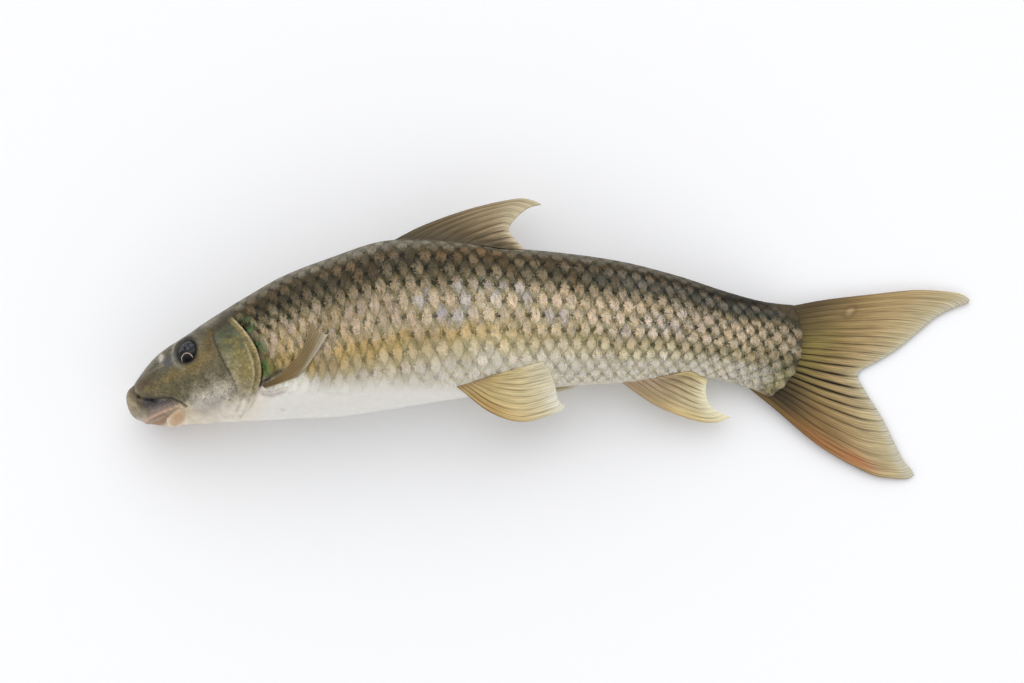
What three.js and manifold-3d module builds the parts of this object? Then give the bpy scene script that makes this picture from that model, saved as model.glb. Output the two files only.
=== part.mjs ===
// A whole raw freshwater fish of the carp order, about 405 mm long, lying on its right flank.
// Head towards -X, back towards +Y, left flank up, and the surface that it lies on at z = 0.
// One closed solid: a lofted body with relief for head and scales, and thin ray fins joined to it.

import * as THREE from 'three';
import { mergeVertices } from 'three/addons/utils/BufferGeometryUtils.js';
import Module from 'manifold-3d';

const wasm = await Module();
wasm.setup();

// ---------------------------------------------------------------- driving dimensions, millimetres

// Body stations from the lips to the root of the tail fin. The chord of a section runs from the back
// to the belly in the fish's own plane of symmetry, and the bow carries its middle rearward.
// [back x, back y, belly x, belly y, half thickness, height of the plane of symmetry, bow]
const BODY_STATIONS = [
  [-202.0, -27.5, -202.0, -27.5, 0, 15, 0],
  [-201.0, -24.0, -201.0, -31.5, 5, 15, 0],
  [-198.0, -20.5, -198.5, -36.5, 7.5, 15, 0],
  [-194.0, -15.0, -193.5, -39.0, 10, 15.5, 0],
  [-188.5, -8.5, -187.5, -40.5, 12.3, 16.3, 0],
  [-181.5, -3.0, -180.5, -41.0, 14.5, 17.3, 1],
  [-174.0, 1.5, -173.0, -40.0, 16.3, 18.3, 4],
  [-165.5, 7.5, -163.5, -39.5, 18.3, 19.2, 9],
  [-156.0, 13.5, -149.5, -38.5, 20.5, 20.2, 15.5],
  [-143.5, 21.0, -137.0, -38.0, 22, 21, 13],
  [-126.5, 30.5, -120.5, -37.0, 23, 21.7, 8.5],
  [-104.5, 39.0, -100.0, -36.0, 23.5, 22, 4],
  [-79.0, 47.0, -75.5, -32.5, 23.5, 22, 1],
  [-52.5, 47.0, -50.5, -28.5, 23, 21.8, 0],
  [-24.0, 44.0, -23.0, -25.0, 22, 21, 0],
  [4.5, 41.5, 3.5, -22.0, 19.8, 19, 0],
  [33.0, 37.5, 29.0, -20.5, 16.6, 16, 0.5],
  [59.5, 31.0, 54.0, -18.5, 13.3, 12.8, 1.5],
  [83.0, 23.5, 74.5, -18.0, 10.3, 9.8, 3.5],
  [99.5, 19.0, 90.0, -21.0, 8, 7.6, 5.5],
  [110.0, 17.5, 99.0, -24.5, 6, 6, 8],
  [116.5, 17.0, 104.5, -27.5, 4, 4.8, 9.5],
];
const GILL_STATION = 8;
const LAST_STATION = BODY_STATIONS.length - 1;
const BELLY_LEAN = -0.05;
const SECTION_FULLNESS = 0.92;
const FINE_STEP = 0.005;
const HALF_SCALE = 0.5;
const TAIL_ROOT_CAP = { shrink: 0.35, length: 2.0 };

// How a place in plan is traced back to its section: passes, share of each step, and limits.
const SEARCH_PASSES = 40;
const SEARCH_PROBE = 0.1;
const SEARCH_EASE = 0.8;
const SEARCH_LEAST_SPEED = 5;
const SEARCH_FROM = 0.5;
const NORMAL_STEP = 0.02;
const NORMAL_FROM = 0.3;

// Scales: a staggered lattice, closest together on the root of the tail.
const SCALE_ROWS = 30;
const SCALE_LENGTH_TAIL = 6.0;
const SCALE_LENGTH_EXTRA = 1.3;
const SCALE_LENGTH_PEAK_X = -50;
const SCALE_LENGTH_FADE = 70;
const SCALE_RISE = 0.48;
const SCALE_DIP = 0.24;
const SCALE_SET_BACK = 0.35;
const NAPE_SCALE_SHARE = 0.4;
const NAPE_STATIONS = 0.8;
const BARE_BELLY_FRONT = 122;
const BARE_BELLY_REAR = 165;
const BARE_BELLY_BLEND = 12;
const BARE_BELLY_STATIONS = { from: 9, to: 16 };

// Head.
const HEAD_ROWS = 60;
const HEAD_STEP = 3.6;
const SNOUT_START = 0.15;
const HEAD_RINGS_END = 7.9;
const GILL_COVER_RISE = 0.9;
const GILL_COVER_SPREAD = 1.6;
const GILL_SLOT_DEPTH = 0.9;
const GILL_COVER_FADE = { from: 0.25, to: 0.6 };
const GILL_STEP = { cover: -0.02, slot: 0.03, scales: 0.12 };
const EYE = { x: -170.5, y: -5.0, along: 4.9, across: 5.3, bulge: 2.4, sunk: 1.0 };
const EYE_SOCKET = { ring: 1.1, depth: 0.7, width: 1.3 };
const NOSTRIL = { x: -184.5, y: -8.0, radius: 1.3, depth: 1.0 };
const LOWER_LIP = { x: -177.0, y: -34.5, along: 4.6, across: 8.0, bulge: 2.8, sunk: 0.9 };

// Lines on the head, as places in plan: both flanks carry them alike. A line's rise is below zero for
// a groove, its width is the half width of its rounded section, and shift moves it towards the belly.
const HEAD_LINES = {
  mouth: {
    rise: -1.6,
    width: 1.9,
    shift: 0,
    points: [
      [-199.0, -22.0], [-198.0, -25.0], [-195.0, -27.0], [-190.0, -28.2],
      [-182.5, -27.5], [-178.0, -27.5], [-174.5, -29.0], [-171.5, -31.5],
    ],
  },
  upperLip: {
    rise: 0.9,
    width: 2.4,
    shift: -1.5,
    points: [[-192.5, -39.5], [-187.0, -36.0], [-182.0, -34.0], [-173.0, -31.0]],
  },
  mouthOpening: {
    rise: -1.3,
    width: 2.0,
    shift: 2.5,
    points: [[-192.5, -39.5], [-187.0, -36.0], [-182.0, -34.0], [-173.0, -31.0]],
  },
  preopercle: {
    rise: -0.7,
    width: 2.0,
    shift: 0,
    points: [[-159.0, 1.0], [-154.5, -6.5], [-150.5, -13.5], [-147.0, -20.0], [-146.0, -26.5]],
  },
  nostrilGroove: {
    rise: -0.4,
    width: 1.0,
    shift: 0,
    points: [[-192.0, -15.5], [-187.5, -13.0], [-183.0, -11.0]],
  },
};

// Fins. Each has four edges of points [x, y, z]: the base, the front ray, the free edge and the last ray.
// rays is their number, steps the facets along each, and root the plate's thickness at its base.
const RAY_THICKNESS = 1.1;
const MEMBRANE_THICKNESS = 0.7;
const FIN_EDGE_THINNING = 0.35;
const FIN_ROOT_SHARE = 0.33;
const FIN_LEAST_HEIGHT = 0.1;
const TABLE_FIN_HEIGHT = 10;
const FIN_STEP_CROWDING = 1.35;
const FIN_FLANK_CLEARANCE = 0.9;
const FIN_FLANK_REACH = 2.5;
const FIN_FLANK_SINK = 2.0;

const DORSAL_FIN = {
  rays: 10,
  steps: 4,
  root: 1.6,
  base: [[-77, 45.5, 22], [-57.5, 45, 21.7], [-38.5, 43.5, 21.3], [-23, 41.5, 21]],
  front: [[-77, 45.5, 22], [-60.5, 54.5, 20.8], [-38, 62.5, 19.5], [-17, 67.5, 18.2], [-4, 65, 17]],
  edge: [[-4, 65, 17], [-10, 63.5, 17.6], [-19, 55.5, 18.8], [-19.5, 50.5, 19.3], [-13.5, 41, 20.5]],
  last: [[-23, 41.5, 21], [-13.5, 41, 20.5]],
};
const TAIL_FIN = {
  rays: 16,
  steps: 4,
  root: 2.6,
  base: [
    [108.5, 15, 5.6], [114.5, 9, 5.2], [116.5, 1, 5], [114.5, -9, 4.8], [108, -19, 4.8], [97.5, -23, 5.4],
  ],
  front: [
    [108.5, 15, 5.6], [130, 19.2, 4.2], [153, 22, 3.4], [176, 24.5, 2.5], [193.5, 23.5, 1.8], [202.5, 19, 1.2],
  ],
  edge: [
    [202.5, 19, 1.2], [193.5, 16.5, 1.2], [182, 10.5, 1.2], [159, -8.5, 1.2], [148.5, -15.5, 1.2],
    [151, -23, 1.2], [160, -37.5, 1.2], [170.5, -58.5, 1.2], [175, -67, 1.2],
  ],
  last: [[97.5, -23, 5.4], [106.5, -32, 4.4], [129.5, -51, 3.2], [153, -64.5, 2.2], [175, -67, 1.2]],
};
const ANAL_FIN = {
  rays: 7,
  steps: 4,
  root: 1.8,
  base: [[32, -19, 17], [45, -17.5, 16], [58.5, -16, 15]],
  front: [[32, -19, 17], [49, -30.5, 14], [66, -37.5, 11], [78, -39.5, 9], [86.5, -37, 7]],
  edge: [[86.5, -37, 7], [77, -32, 9.8], [74, -25, 12], [74.5, -18.5, 14]],
  last: [[58.5, -16, 15], [66, -15, 14.6], [74.5, -18.5, 14]],
};
const LEFT_PELVIC_FIN = {
  rays: 8,
  steps: 4,
  root: 1.8,
  base: [[-44.5, -21.5, 31], [-36.5, -19.5, 33], [-29, -17.5, 35]],
  front: [[-44.5, -21.5, 31], [-29.5, -33.5, 27], [-13.5, -38.5, 23], [3.5, -34, 19], [7, -31, 17]],
  edge: [[7, -31, 17], [3.5, -28, 21], [1.5, -20, 28], [-2.5, -9.5, 36]],
  last: [[-29, -17.5, 35], [-15.5, -13.5, 36], [-2.5, -9.5, 36]],
};
const RIGHT_PELVIC_FIN = {
  rays: 6,
  steps: 2,
  root: 1.6,
  base: [[-45, -22, 9], [-29, -19, 7]],
  front: [[-45, -22, 9], [-24.5, -24.5, 6], [-5, -25, 3], [8, -24, 1.2], [13.5, -22, 1.2]],
  edge: [[13.5, -22, 1.2], [10, -17.5, 1.2], [4.5, -14, 1.2]],
  last: [[-29, -19, 7], [-12, -15.5, 3], [4.5, -14, 1.2]],
};
const LEFT_PECTORAL_FIN = {
  rays: 8,
  steps: 4,
  root: 1.8,
  base: [[-136, -20, 38], [-134.5, -25, 35]],
  front: [[-136, -20, 38], [-127, -15.5, 41], [-121.5, -9.5, 42], [-117, -2, 43], [-110.5, 10.5, 44]],
  edge: [[-110.5, 10.5, 44], [-108.5, 4.5, 44], [-103.5, 2.5, 44]],
  last: [[-134.5, -25, 35], [-124.5, -21.5, 38], [-113.5, -13.5, 41], [-105.5, -1.5, 43], [-103.5, 2.5, 44]],
};
const RIGHT_PECTORAL_FIN = {
  rays: 6,
  steps: 2,
  root: 1.6,
  base: [[-139, -20.5, 8], [-137, -25.5, 9]],
  front: [[-139, -20.5, 8], [-127.5, -20.5, 2.5], [-105, -22, 1.2]],
  edge: [[-105, -22, 1.2], [-103.5, -26, 1.2], [-104.5, -29.5, 1.2]],
  last: [[-137, -25.5, 9], [-127.5, -29, 6], [-115.5, -31, 3], [-104.5, -29.5, 1.2]],
};

// Rounded lumps, and the least volume that counts as a piece once everything is joined.
const LUMP_SIDES = 12;
const LUMP_ROWS = 7;
const SCRAP_VOLUME = 1;

const SKIN_COLOUR = 0x9c8f70;

// ---------------------------------------------------------------- small maths

const clamp = THREE.MathUtils.clamp;
const smoothstep = THREE.MathUtils.smoothstep;

function bell(distance, width) {
  return Math.exp(-((distance / width) ** 2));
}

// Distance in plan from a place to a line of points.
function distanceToLine(x, y, line) {
  const place = new THREE.Vector3(x, y, 0);
  const nearest = new THREE.Vector3();
  let least = Infinity;
  for (let i = 0; i + 1 < line.length; i += 1) {
    const start = new THREE.Vector3(...line[i], 0);
    const end = new THREE.Vector3(...line[i + 1], 0);
    new THREE.Line3(start, end).closestPointToPoint(place, true, nearest);
    least = Math.min(least, nearest.distanceTo(place));
  }
  return least;
}

// ---------------------------------------------------------------- the body's smooth form

// The section at station number s, by a cubic curve through the stations.
function sectionAt(s) {
  const i = clamp(Math.floor(s), 0, LAST_STATION - 1);
  const f = s - i;
  const before = BODY_STATIONS[Math.max(i - 1, 0)];
  const from = BODY_STATIONS[i];
  const to = BODY_STATIONS[i + 1];
  const after = BODY_STATIONS[Math.min(i + 2, LAST_STATION)];
  const value = from.map((start, k) => {
    const end = to[k];
    const leave = (end - before[k]) / (i > 0 ? 2 : 1);
    const arrive = (after[k] - start) / (i + 2 <= LAST_STATION ? 2 : 1);
    const bend = 2 * (start - end) + leave + arrive;
    const lift = 3 * (end - start) - 2 * leave - arrive;
    return start + f * (leave + f * (lift + f * bend));
  });
  const [backX, backY, bellyX, bellyY, halfThickness, midHeight, bow] = value;
  const halfX = (backX - bellyX) / 2;
  const halfY = (backY - bellyY) / 2;
  const halfDepth = Math.max(Math.hypot(halfX, halfY), 1e-6);
  return {
    x: (backX + bellyX) / 2,
    y: (backY + bellyY) / 2,
    halfX,
    halfY,
    halfDepth,
    rearX: halfY / halfDepth,
    rearY: -halfX / halfDepth,
    halfThickness: Math.max(halfThickness, 0),
    midHeight,
    bow,
  };
}

// A point of the smooth skin: s is the station number and t the angle round the section,
// 0 at the back, 90 degrees on the left flank and 180 degrees at the belly.
function smoothSkin(s, t) {
  const section = sectionAt(s);
  const across = Math.cos(t) + BELLY_LEAN * Math.sin(t) ** 2;
  const bow = section.bow * (1 - Math.cos(t) ** 2);
  const side = Math.sign(Math.sin(t)) * Math.abs(Math.sin(t)) ** SECTION_FULLNESS;
  return new THREE.Vector3(
    section.x + section.halfX * across + section.rearX * bow,
    section.y + section.halfY * across + section.rearY * bow,
    section.midHeight + section.halfThickness * side,
  );
}

// The way out of the skin, from two short steps along and round it.
function skinNormal(s, t) {
  const from = clamp(s, NORMAL_FROM, LAST_STATION - NORMAL_STEP);
  const along = smoothSkin(from + NORMAL_STEP, t).sub(smoothSkin(from - NORMAL_STEP, t));
  const round = smoothSkin(from, t + NORMAL_STEP).sub(smoothSkin(from, t - NORMAL_STEP));
  return round.cross(along).normalize();
}

// A point of the skin raised along its normal, and pressed flat where it would pass below the surface.
function skin(s, t, rise) {
  const point = smoothSkin(s, t);
  if (Math.abs(rise) > 0) {
    point.addScaledVector(skinNormal(s, t), rise);
  }
  point.z = Math.max(point.z, 0);
  return point;
}

// Station number, angle and height of the upper flank over a place in plan, or null beside the body.
function flankPlace(x, y) {
  let s = GILL_STATION;
  let across = 0;
  for (let pass = 0; pass < SEARCH_PASSES; pass += 1) {
    const section = sectionAt(s);
    const dx = x - section.x;
    const dy = y - section.y;
    across = (dx * section.halfX + dy * section.halfY) / section.halfDepth ** 2;
    const open = Math.max(1 - across ** 2, 0);
    const short = dx * section.rearX + dy * section.rearY - section.bow * open;
    const ahead = sectionAt(Math.min(s + SEARCH_PROBE, LAST_STATION));
    const speed = Math.hypot(ahead.x - section.x, ahead.y - section.y) / SEARCH_PROBE;
    s = clamp(s + SEARCH_EASE * (short / Math.max(speed, SEARCH_LEAST_SPEED)), SEARCH_FROM, LAST_STATION);
  }
  if (Math.abs(across) >= 1) {
    return null;
  }
  const section = sectionAt(s);
  const rise = Math.sqrt(1 - across ** 2) ** SECTION_FULLNESS;
  return { s, t: Math.acos(across), z: section.midHeight + section.halfThickness * rise };
}

// ---------------------------------------------------------------- relief

// Relief of the head at a place in plan: mouth, lips, gill-cover lines, nostril and eye socket.
function headRelief(x, y) {
  let rise = 0;
  Object.values(HEAD_LINES).forEach((line) => {
    rise += line.rise * bell(distanceToLine(x, y + line.shift, line.points), line.width);
  });
  rise -= NOSTRIL.depth * bell(Math.hypot(x - NOSTRIL.x, y - NOSTRIL.y), NOSTRIL.radius);
  const fromEye = Math.hypot((x - EYE.x) / EYE.along, (y - EYE.y) / EYE.across);
  rise -= EYE_SOCKET.depth * bell((fromEye - EYE_SOCKET.ring) * EYE.along, EYE_SOCKET.width);
  return rise;
}

// The gill cover thickens towards its free rear edge, on the flanks and not over the back or the throat.
function gillCoverShare(t) {
  return smoothstep(Math.abs(Math.sin(t)), GILL_COVER_FADE.from, GILL_COVER_FADE.to);
}

// ---------------------------------------------------------------- rings of the body

// Station numbers along the head, about HEAD_STEP apart where the section's middle is.
function headStations() {
  const found = [];
  let travelled = HEAD_STEP;
  let previous = smoothSkin(0, Math.PI / 2);
  for (let s = FINE_STEP; s < HEAD_RINGS_END; s += FINE_STEP) {
    const point = smoothSkin(s, Math.PI / 2);
    travelled += point.distanceTo(previous);
    previous = point;
    if (travelled >= HEAD_STEP && s > SNOUT_START) {
      found.push(s);
      travelled = 0;
    }
  }
  return found;
}

// Station numbers half a scale apart, from the gill cover to the root of the tail.
function scaleStations() {
  const found = [];
  const start = GILL_STATION + GILL_STEP.scales;
  let count = 0;
  let previous = sectionAt(start);
  for (let s = start; s < LAST_STATION; s += FINE_STEP) {
    const section = sectionAt(s);
    const x = section.x + section.rearX * section.bow;
    const fade = bell(x - SCALE_LENGTH_PEAK_X, SCALE_LENGTH_FADE);
    const length = SCALE_LENGTH_TAIL + SCALE_LENGTH_EXTRA * fade;
    count += Math.hypot(section.x - previous.x, section.y - previous.y, section.bow - previous.bow) / length;
    previous = section;
    if (count >= HALF_SCALE) {
      found.push(s);
      count -= HALF_SCALE;
    }
  }
  return found;
}

function ring(s, rows, riseAt) {
  const points = [];
  for (let j = 0; j < rows; j += 1) {
    const t = (2 * Math.PI * j) / rows;
    points.push(skin(s, t, riseAt(t, j)));
  }
  return points;
}

function headRing(s) {
  return ring(s, HEAD_ROWS, (t) => {
    const place = smoothSkin(s, t);
    const thickening = smoothstep(s, GILL_STATION - GILL_COVER_SPREAD, GILL_STATION);
    return headRelief(place.x, place.y) + GILL_COVER_RISE * thickening * gillCoverShare(t);
  });
}

// A scale's middle is raised, set back towards its free rear edge, and the bare belly is smooth.
function scaleRing(s, column, halfStep) {
  const points = [];
  const shareBack = smoothstep(s, GILL_STATION, GILL_STATION + NAPE_STATIONS);
  const bareShare = smoothstep(s, BARE_BELLY_STATIONS.from, BARE_BELLY_STATIONS.to);
  const bareFrom = THREE.MathUtils.lerp(BARE_BELLY_FRONT, BARE_BELLY_REAR, bareShare);
  for (let j = 0; j < SCALE_ROWS; j += 1) {
    const t = (2 * Math.PI * j) / SCALE_ROWS;
    const fromBack = 180 - Math.abs(180 - (360 * j) / SCALE_ROWS);
    const scaled = 1 - smoothstep(fromBack, bareFrom - BARE_BELLY_BLEND, bareFrom + BARE_BELLY_BLEND);
    const middle = (column + j) % 2 === 0;
    const size = scaled * THREE.MathUtils.lerp(NAPE_SCALE_SHARE, 1, shareBack);
    const rise = (middle ? SCALE_RISE : -SCALE_DIP) * size;
    const back = middle ? SCALE_SET_BACK * halfStep * scaled : 0;
    points.push(skin(Math.min(s + back, LAST_STATION), t, rise));
  }
  return points;
}

// ---------------------------------------------------------------- meshes

// A closed mesh as a solid for joining, turned right side out where its faces point in.
function toSolid(positions, triangles) {
  let volume = 0;
  for (let i = 0; i < triangles.length; i += 3) {
    const [a, b, c] = [0, 1, 2].map((k) => new THREE.Vector3().fromArray(positions, 3 * triangles[i + k]));
    volume += a.dot(b.cross(c));
  }
  const turned = [...triangles];
  if (volume < 0) {
    for (let i = 0; i < turned.length; i += 3) {
      [turned[i + 1], turned[i + 2]] = [turned[i + 2], turned[i + 1]];
    }
  }
  const mesh = new wasm.Mesh({
    numProp: 3,
    vertProperties: Float32Array.from(positions),
    triVerts: Uint32Array.from(turned),
  });
  return new wasm.Manifold(mesh);
}

function bodySolid() {
  const rings = headStations().map(headRing);
  rings.push(headRing(GILL_STATION + GILL_STEP.cover));
  const slot = (t) => -GILL_SLOT_DEPTH * gillCoverShare(t);
  rings.push(ring(GILL_STATION + GILL_STEP.slot, SCALE_ROWS, slot));
  const firstScaleRing = rings.length;
  const scales = scaleStations();
  scales.forEach((s, column) => {
    const halfStep = (scales[column + 1] ?? s) - s;
    rings.push(scaleRing(s, column, halfStep));
  });
  const end = sectionAt(LAST_STATION);
  const rearward = new THREE.Vector3(end.rearX, end.rearY, 0);
  const capRing = ring(LAST_STATION, SCALE_ROWS, () => 0);
  capRing.forEach((point) => {
    point.z = end.midHeight + TAIL_ROOT_CAP.shrink * (point.z - end.midHeight);
    point.addScaledVector(rearward, TAIL_ROOT_CAP.length);
  });
  rings.push(capRing);

  const positions = [];
  const triangles = [];
  const starts = rings.map((points) => {
    const start = positions.length / 3;
    points.forEach((point) => positions.push(point.x, point.y, point.z));
    return start;
  });
  const tip = positions.length / 3;
  positions.push(...smoothSkin(0, 0).toArray());
  const heel = positions.length / 3;
  const heelPoint = smoothSkin(LAST_STATION, Math.PI / 2);
  positions.push(heelPoint.x, heelPoint.y, end.midHeight);

  rings.forEach((points, i) => {
    const rows = points.length;
    const next = rings[i + 1];
    for (let j = 0; j < rows; j += 1) {
      const a = starts[i] + j;
      const c = starts[i] + ((j + 1) % rows);
      if (i === 0) {
        triangles.push(a, tip, c);
      }
      if (!next) {
        triangles.push(a, c, heel);
        continue;
      }
      if (next.length < rows) {
        const b = starts[i + 1] + ((j >> 1) % next.length);
        const d = starts[i + 1] + (((j >> 1) + 1) % next.length);
        triangles.push(a, c, j % 2 === 0 ? b : d);
        if (j % 2 === 1) {
          triangles.push(a, d, b);
        }
        continue;
      }
      const b = starts[i + 1] + j;
      const d = starts[i + 1] + ((j + 1) % rows);
      if ((i + j) % 2 === firstScaleRing % 2) {
        triangles.push(a, c, b, b, c, d);
      } else {
        triangles.push(a, d, b, a, c, d);
      }
    }
  });
  return toSolid(positions, triangles);
}

// A fin is a thin plate between its four edges, thick at each ray and thin between rays.
// Where it lies on the flank it is raised clear of the skin and filled down to it.
function finSolid(fin) {
  const curve = (points) => new THREE.CatmullRomCurve3(points.map((p) => new THREE.Vector3(...p)), false);
  const [base, front, edge, last] = [fin.base, fin.front, fin.edge, fin.last].map(curve);
  const columns = 2 * fin.rays;
  const corners = [base.getPoint(0), base.getPoint(1), edge.getPoint(0), edge.getPoint(1)];
  const top = [];
  const bottom = [];
  for (let i = 0; i <= columns; i += 1) {
    for (let j = 0; j <= fin.steps; j += 1) {
      const u = i / columns;
      const v = 1 - (1 - j / fin.steps) ** FIN_STEP_CROWDING;
      const weights = [-(1 - u) * (1 - v), -u * (1 - v), -(1 - u) * v, -u * v];
      const middle = new THREE.Vector3()
        .addScaledVector(front.getPointAt(v), 1 - u)
        .addScaledVector(last.getPointAt(v), u)
        .addScaledVector(base.getPointAt(u), 1 - v)
        .addScaledVector(edge.getPointAt(u), v);
      corners.forEach((corner, k) => middle.addScaledVector(corner, weights[k]));
      const full = i % 2 === 0 ? RAY_THICKNESS : MEMBRANE_THICKNESS;
      const thinned = full * (1 - FIN_EDGE_THINNING * v);
      const thickness = THREE.MathUtils.lerp(fin.root, thinned, Math.min(1, v / FIN_ROOT_SHARE));
      let under = middle.z - thickness / 2;
      if (middle.z > TABLE_FIN_HEIGHT && v > 0) {
        const flank = flankPlace(middle.x, middle.y);
        if (flank !== null) {
          middle.z = Math.max(middle.z, flank.z + FIN_FLANK_CLEARANCE - thickness / 2);
          under = middle.z - thickness / 2;
          under = under < flank.z + FIN_FLANK_REACH ? Math.min(under, flank.z - FIN_FLANK_SINK) : under;
        }
      }
      top.push(middle.x, middle.y, middle.z + thickness / 2);
      bottom.push(middle.x, middle.y, Math.max(under, FIN_LEAST_HEIGHT));
    }
  }
  const across = fin.steps + 1;
  const count = (columns + 1) * across;
  const triangles = [];
  const strip = (a, b) => triangles.push(a, b, a + count, b, b + count, a + count);
  for (let i = 0; i < columns; i += 1) {
    for (let j = 0; j < fin.steps; j += 1) {
      const a = i * across + j;
      const [b, c, d] = [a + across, a + 1, a + across + 1];
      triangles.push(a, b, c, b, d, c);
      triangles.push(a + count, c + count, b + count, b + count, c + count, d + count);
    }
    strip((i + 1) * across, i * across);
    strip(i * across + fin.steps, (i + 1) * across + fin.steps);
  }
  for (let j = 0; j < fin.steps; j += 1) {
    strip(j, j + 1);
    strip(columns * across + j + 1, columns * across + j);
  }
  return toSolid([...top, ...bottom], triangles);
}

// A rounded lump that sits on the skin at a place in plan, facing out from the flank.
// side is 1 for the left flank and -1 for its mirror image on the right.
function lumpSolid(lump, side) {
  const place = flankPlace(lump.x, lump.y);
  const normal = skinNormal(place.s, place.t);
  const sphere = new THREE.SphereGeometry(1, LUMP_SIDES, LUMP_ROWS);
  sphere.deleteAttribute('normal');
  sphere.deleteAttribute('uv');
  const merged = mergeVertices(sphere);
  merged.rotateX(Math.PI / 2);
  merged.scale(lump.along, lump.across, lump.bulge);
  const turn = new THREE.Quaternion().setFromUnitVectors(new THREE.Vector3(0, 0, 1), normal);
  merged.applyQuaternion(turn);
  const centre = smoothSkin(place.s, place.t).addScaledVector(normal, -lump.sunk);
  merged.translate(centre.x, centre.y, centre.z);
  const positions = [...merged.getAttribute('position').array];
  const mirror = sectionAt(place.s).midHeight;
  for (let i = 2; i < positions.length; i += 3) {
    positions[i] = mirror + side * (positions[i] - mirror);
    positions[i] = Math.max(positions[i], 0);
  }
  return toSolid(positions, [...merged.index.array]);
}

// ---------------------------------------------------------------- the fish

const FINS = [
  DORSAL_FIN, TAIL_FIN, ANAL_FIN, LEFT_PELVIC_FIN, RIGHT_PELVIC_FIN, LEFT_PECTORAL_FIN, RIGHT_PECTORAL_FIN,
];

function fishGeometry() {
  let solid = bodySolid();
  FINS.forEach((fin) => {
    solid = solid.add(finSolid(fin));
  });
  [1, -1].forEach((side) => {
    solid = solid.add(lumpSolid(EYE, side));
    solid = solid.add(lumpSolid(LOWER_LIP, side));
  });
  const whole = solid.decompose().filter((piece) => piece.volume() > SCRAP_VOLUME);
  const mesh = whole[0].getMesh();
  const geometry = new THREE.BufferGeometry();
  geometry.setAttribute('position', new THREE.BufferAttribute(Float32Array.from(mesh.vertProperties), 3));
  geometry.setIndex([...mesh.triVerts]);
  geometry.computeBoundingBox();
  const box = geometry.boundingBox;
  geometry.translate(-(box.min.x + box.max.x) / 2, -(box.min.y + box.max.y) / 2, -box.min.z);
  geometry.computeVertexNormals();
  return geometry;
}

const skinMaterial = new THREE.MeshStandardMaterial({ color: SKIN_COLOUR, roughness: 0.35, metalness: 0 });
const fish = new THREE.Mesh(fishGeometry(), skinMaterial);
fish.name = 'fish';

const object = new THREE.Group();
object.add(fish);

export default object;
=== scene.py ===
"""A whole raw fish lying on its right flank on a pale surface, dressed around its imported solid.

The skin, scales, fins, eyes and lips are meshes worked out from the same stations as the solid.
Sizes in the tables below are millimetres in the solid's own frame; meshes are made in metres.
"""

import bpy
import numpy as np
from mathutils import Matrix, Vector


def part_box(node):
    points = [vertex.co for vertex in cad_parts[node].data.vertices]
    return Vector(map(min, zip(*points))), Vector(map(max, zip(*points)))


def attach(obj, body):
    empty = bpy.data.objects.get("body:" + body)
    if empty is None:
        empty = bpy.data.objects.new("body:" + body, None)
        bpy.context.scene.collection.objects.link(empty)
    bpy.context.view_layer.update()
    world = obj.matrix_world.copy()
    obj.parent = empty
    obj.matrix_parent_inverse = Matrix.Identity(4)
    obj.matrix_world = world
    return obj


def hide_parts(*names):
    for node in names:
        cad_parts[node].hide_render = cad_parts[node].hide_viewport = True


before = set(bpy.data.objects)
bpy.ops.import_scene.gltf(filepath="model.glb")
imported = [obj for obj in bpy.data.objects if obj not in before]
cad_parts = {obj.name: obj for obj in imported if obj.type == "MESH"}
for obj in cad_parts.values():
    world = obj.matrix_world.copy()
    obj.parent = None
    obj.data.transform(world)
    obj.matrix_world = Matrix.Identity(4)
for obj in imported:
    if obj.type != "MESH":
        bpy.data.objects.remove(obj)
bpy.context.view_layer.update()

MM = 0.001

# ---- the body's stations

# [back x, back y, belly x, belly y, half thickness, height of the plane of symmetry, bow]
BODY_STATIONS = np.array([
    [-202, -27.5, -202, -27.5, 0, 15, 0],
    [-201, -24, -201, -31.5, 5, 15, 0],
    [-198, -20.5, -198.5, -36.5, 7.5, 15, 0],
    [-194, -15, -193.5, -39, 10, 15.5, 0],
    [-188.5, -8.5, -187.5, -40.5, 12.3, 16.3, 0],
    [-181.5, -3, -180.5, -41, 14.5, 17.3, 1],
    [-174, 1.5, -173, -40, 16.3, 18.3, 4],
    [-165.5, 7.5, -163.5, -39.5, 18.3, 19.2, 9],
    [-156, 13.5, -149.5, -38.5, 20.5, 20.2, 15.5],
    [-143.5, 21, -137, -38, 22, 21, 13],
    [-126.5, 30.5, -120.5, -37, 23, 21.7, 8.5],
    [-104.5, 39, -100, -36, 23.5, 22, 4],
    [-79, 47, -75.5, -32.5, 23.5, 22, 1],
    [-52.5, 47, -50.5, -28.5, 23, 21.8, 0],
    [-24, 44, -23, -25, 22, 21, 0],
    [4.5, 41.5, 3.5, -22, 19.8, 19, 0],
    [33, 37.5, 29, -20.5, 16.6, 16, 0.5],
    [59.5, 31, 54, -18.5, 13.3, 12.8, 1.5],
    [83, 23.5, 74.5, -18, 10.3, 9.8, 3.5],
    [99.5, 19, 90, -21, 8, 7.6, 5.5],
    [110, 17.5, 99, -24.5, 6, 6, 8],
    [116.5, 17, 104.5, -27.5, 4, 4.8, 9.5],
])
GILL_STATION = 8.15
LAST_STATION = len(BODY_STATIONS) - 1
BELLY_LEAN = -0.05
SECTION_FULLNESS = 0.92

# The solid is centred on its own box: these two places of the tables lie on that box.
LIP_TIP_X = -202
TAIL_TIP_Y = -67

# ---- scales

SCALE_ROWS = 30
SCALE_COLUMNS = 81
SCALES_START = 8.12
SCALE_LENGTH_TAIL = 6
SCALE_LENGTH_EXTRA = 1.3
SCALE_LENGTH_PEAK_X = -50
SCALE_LENGTH_FADE = 70

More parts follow.
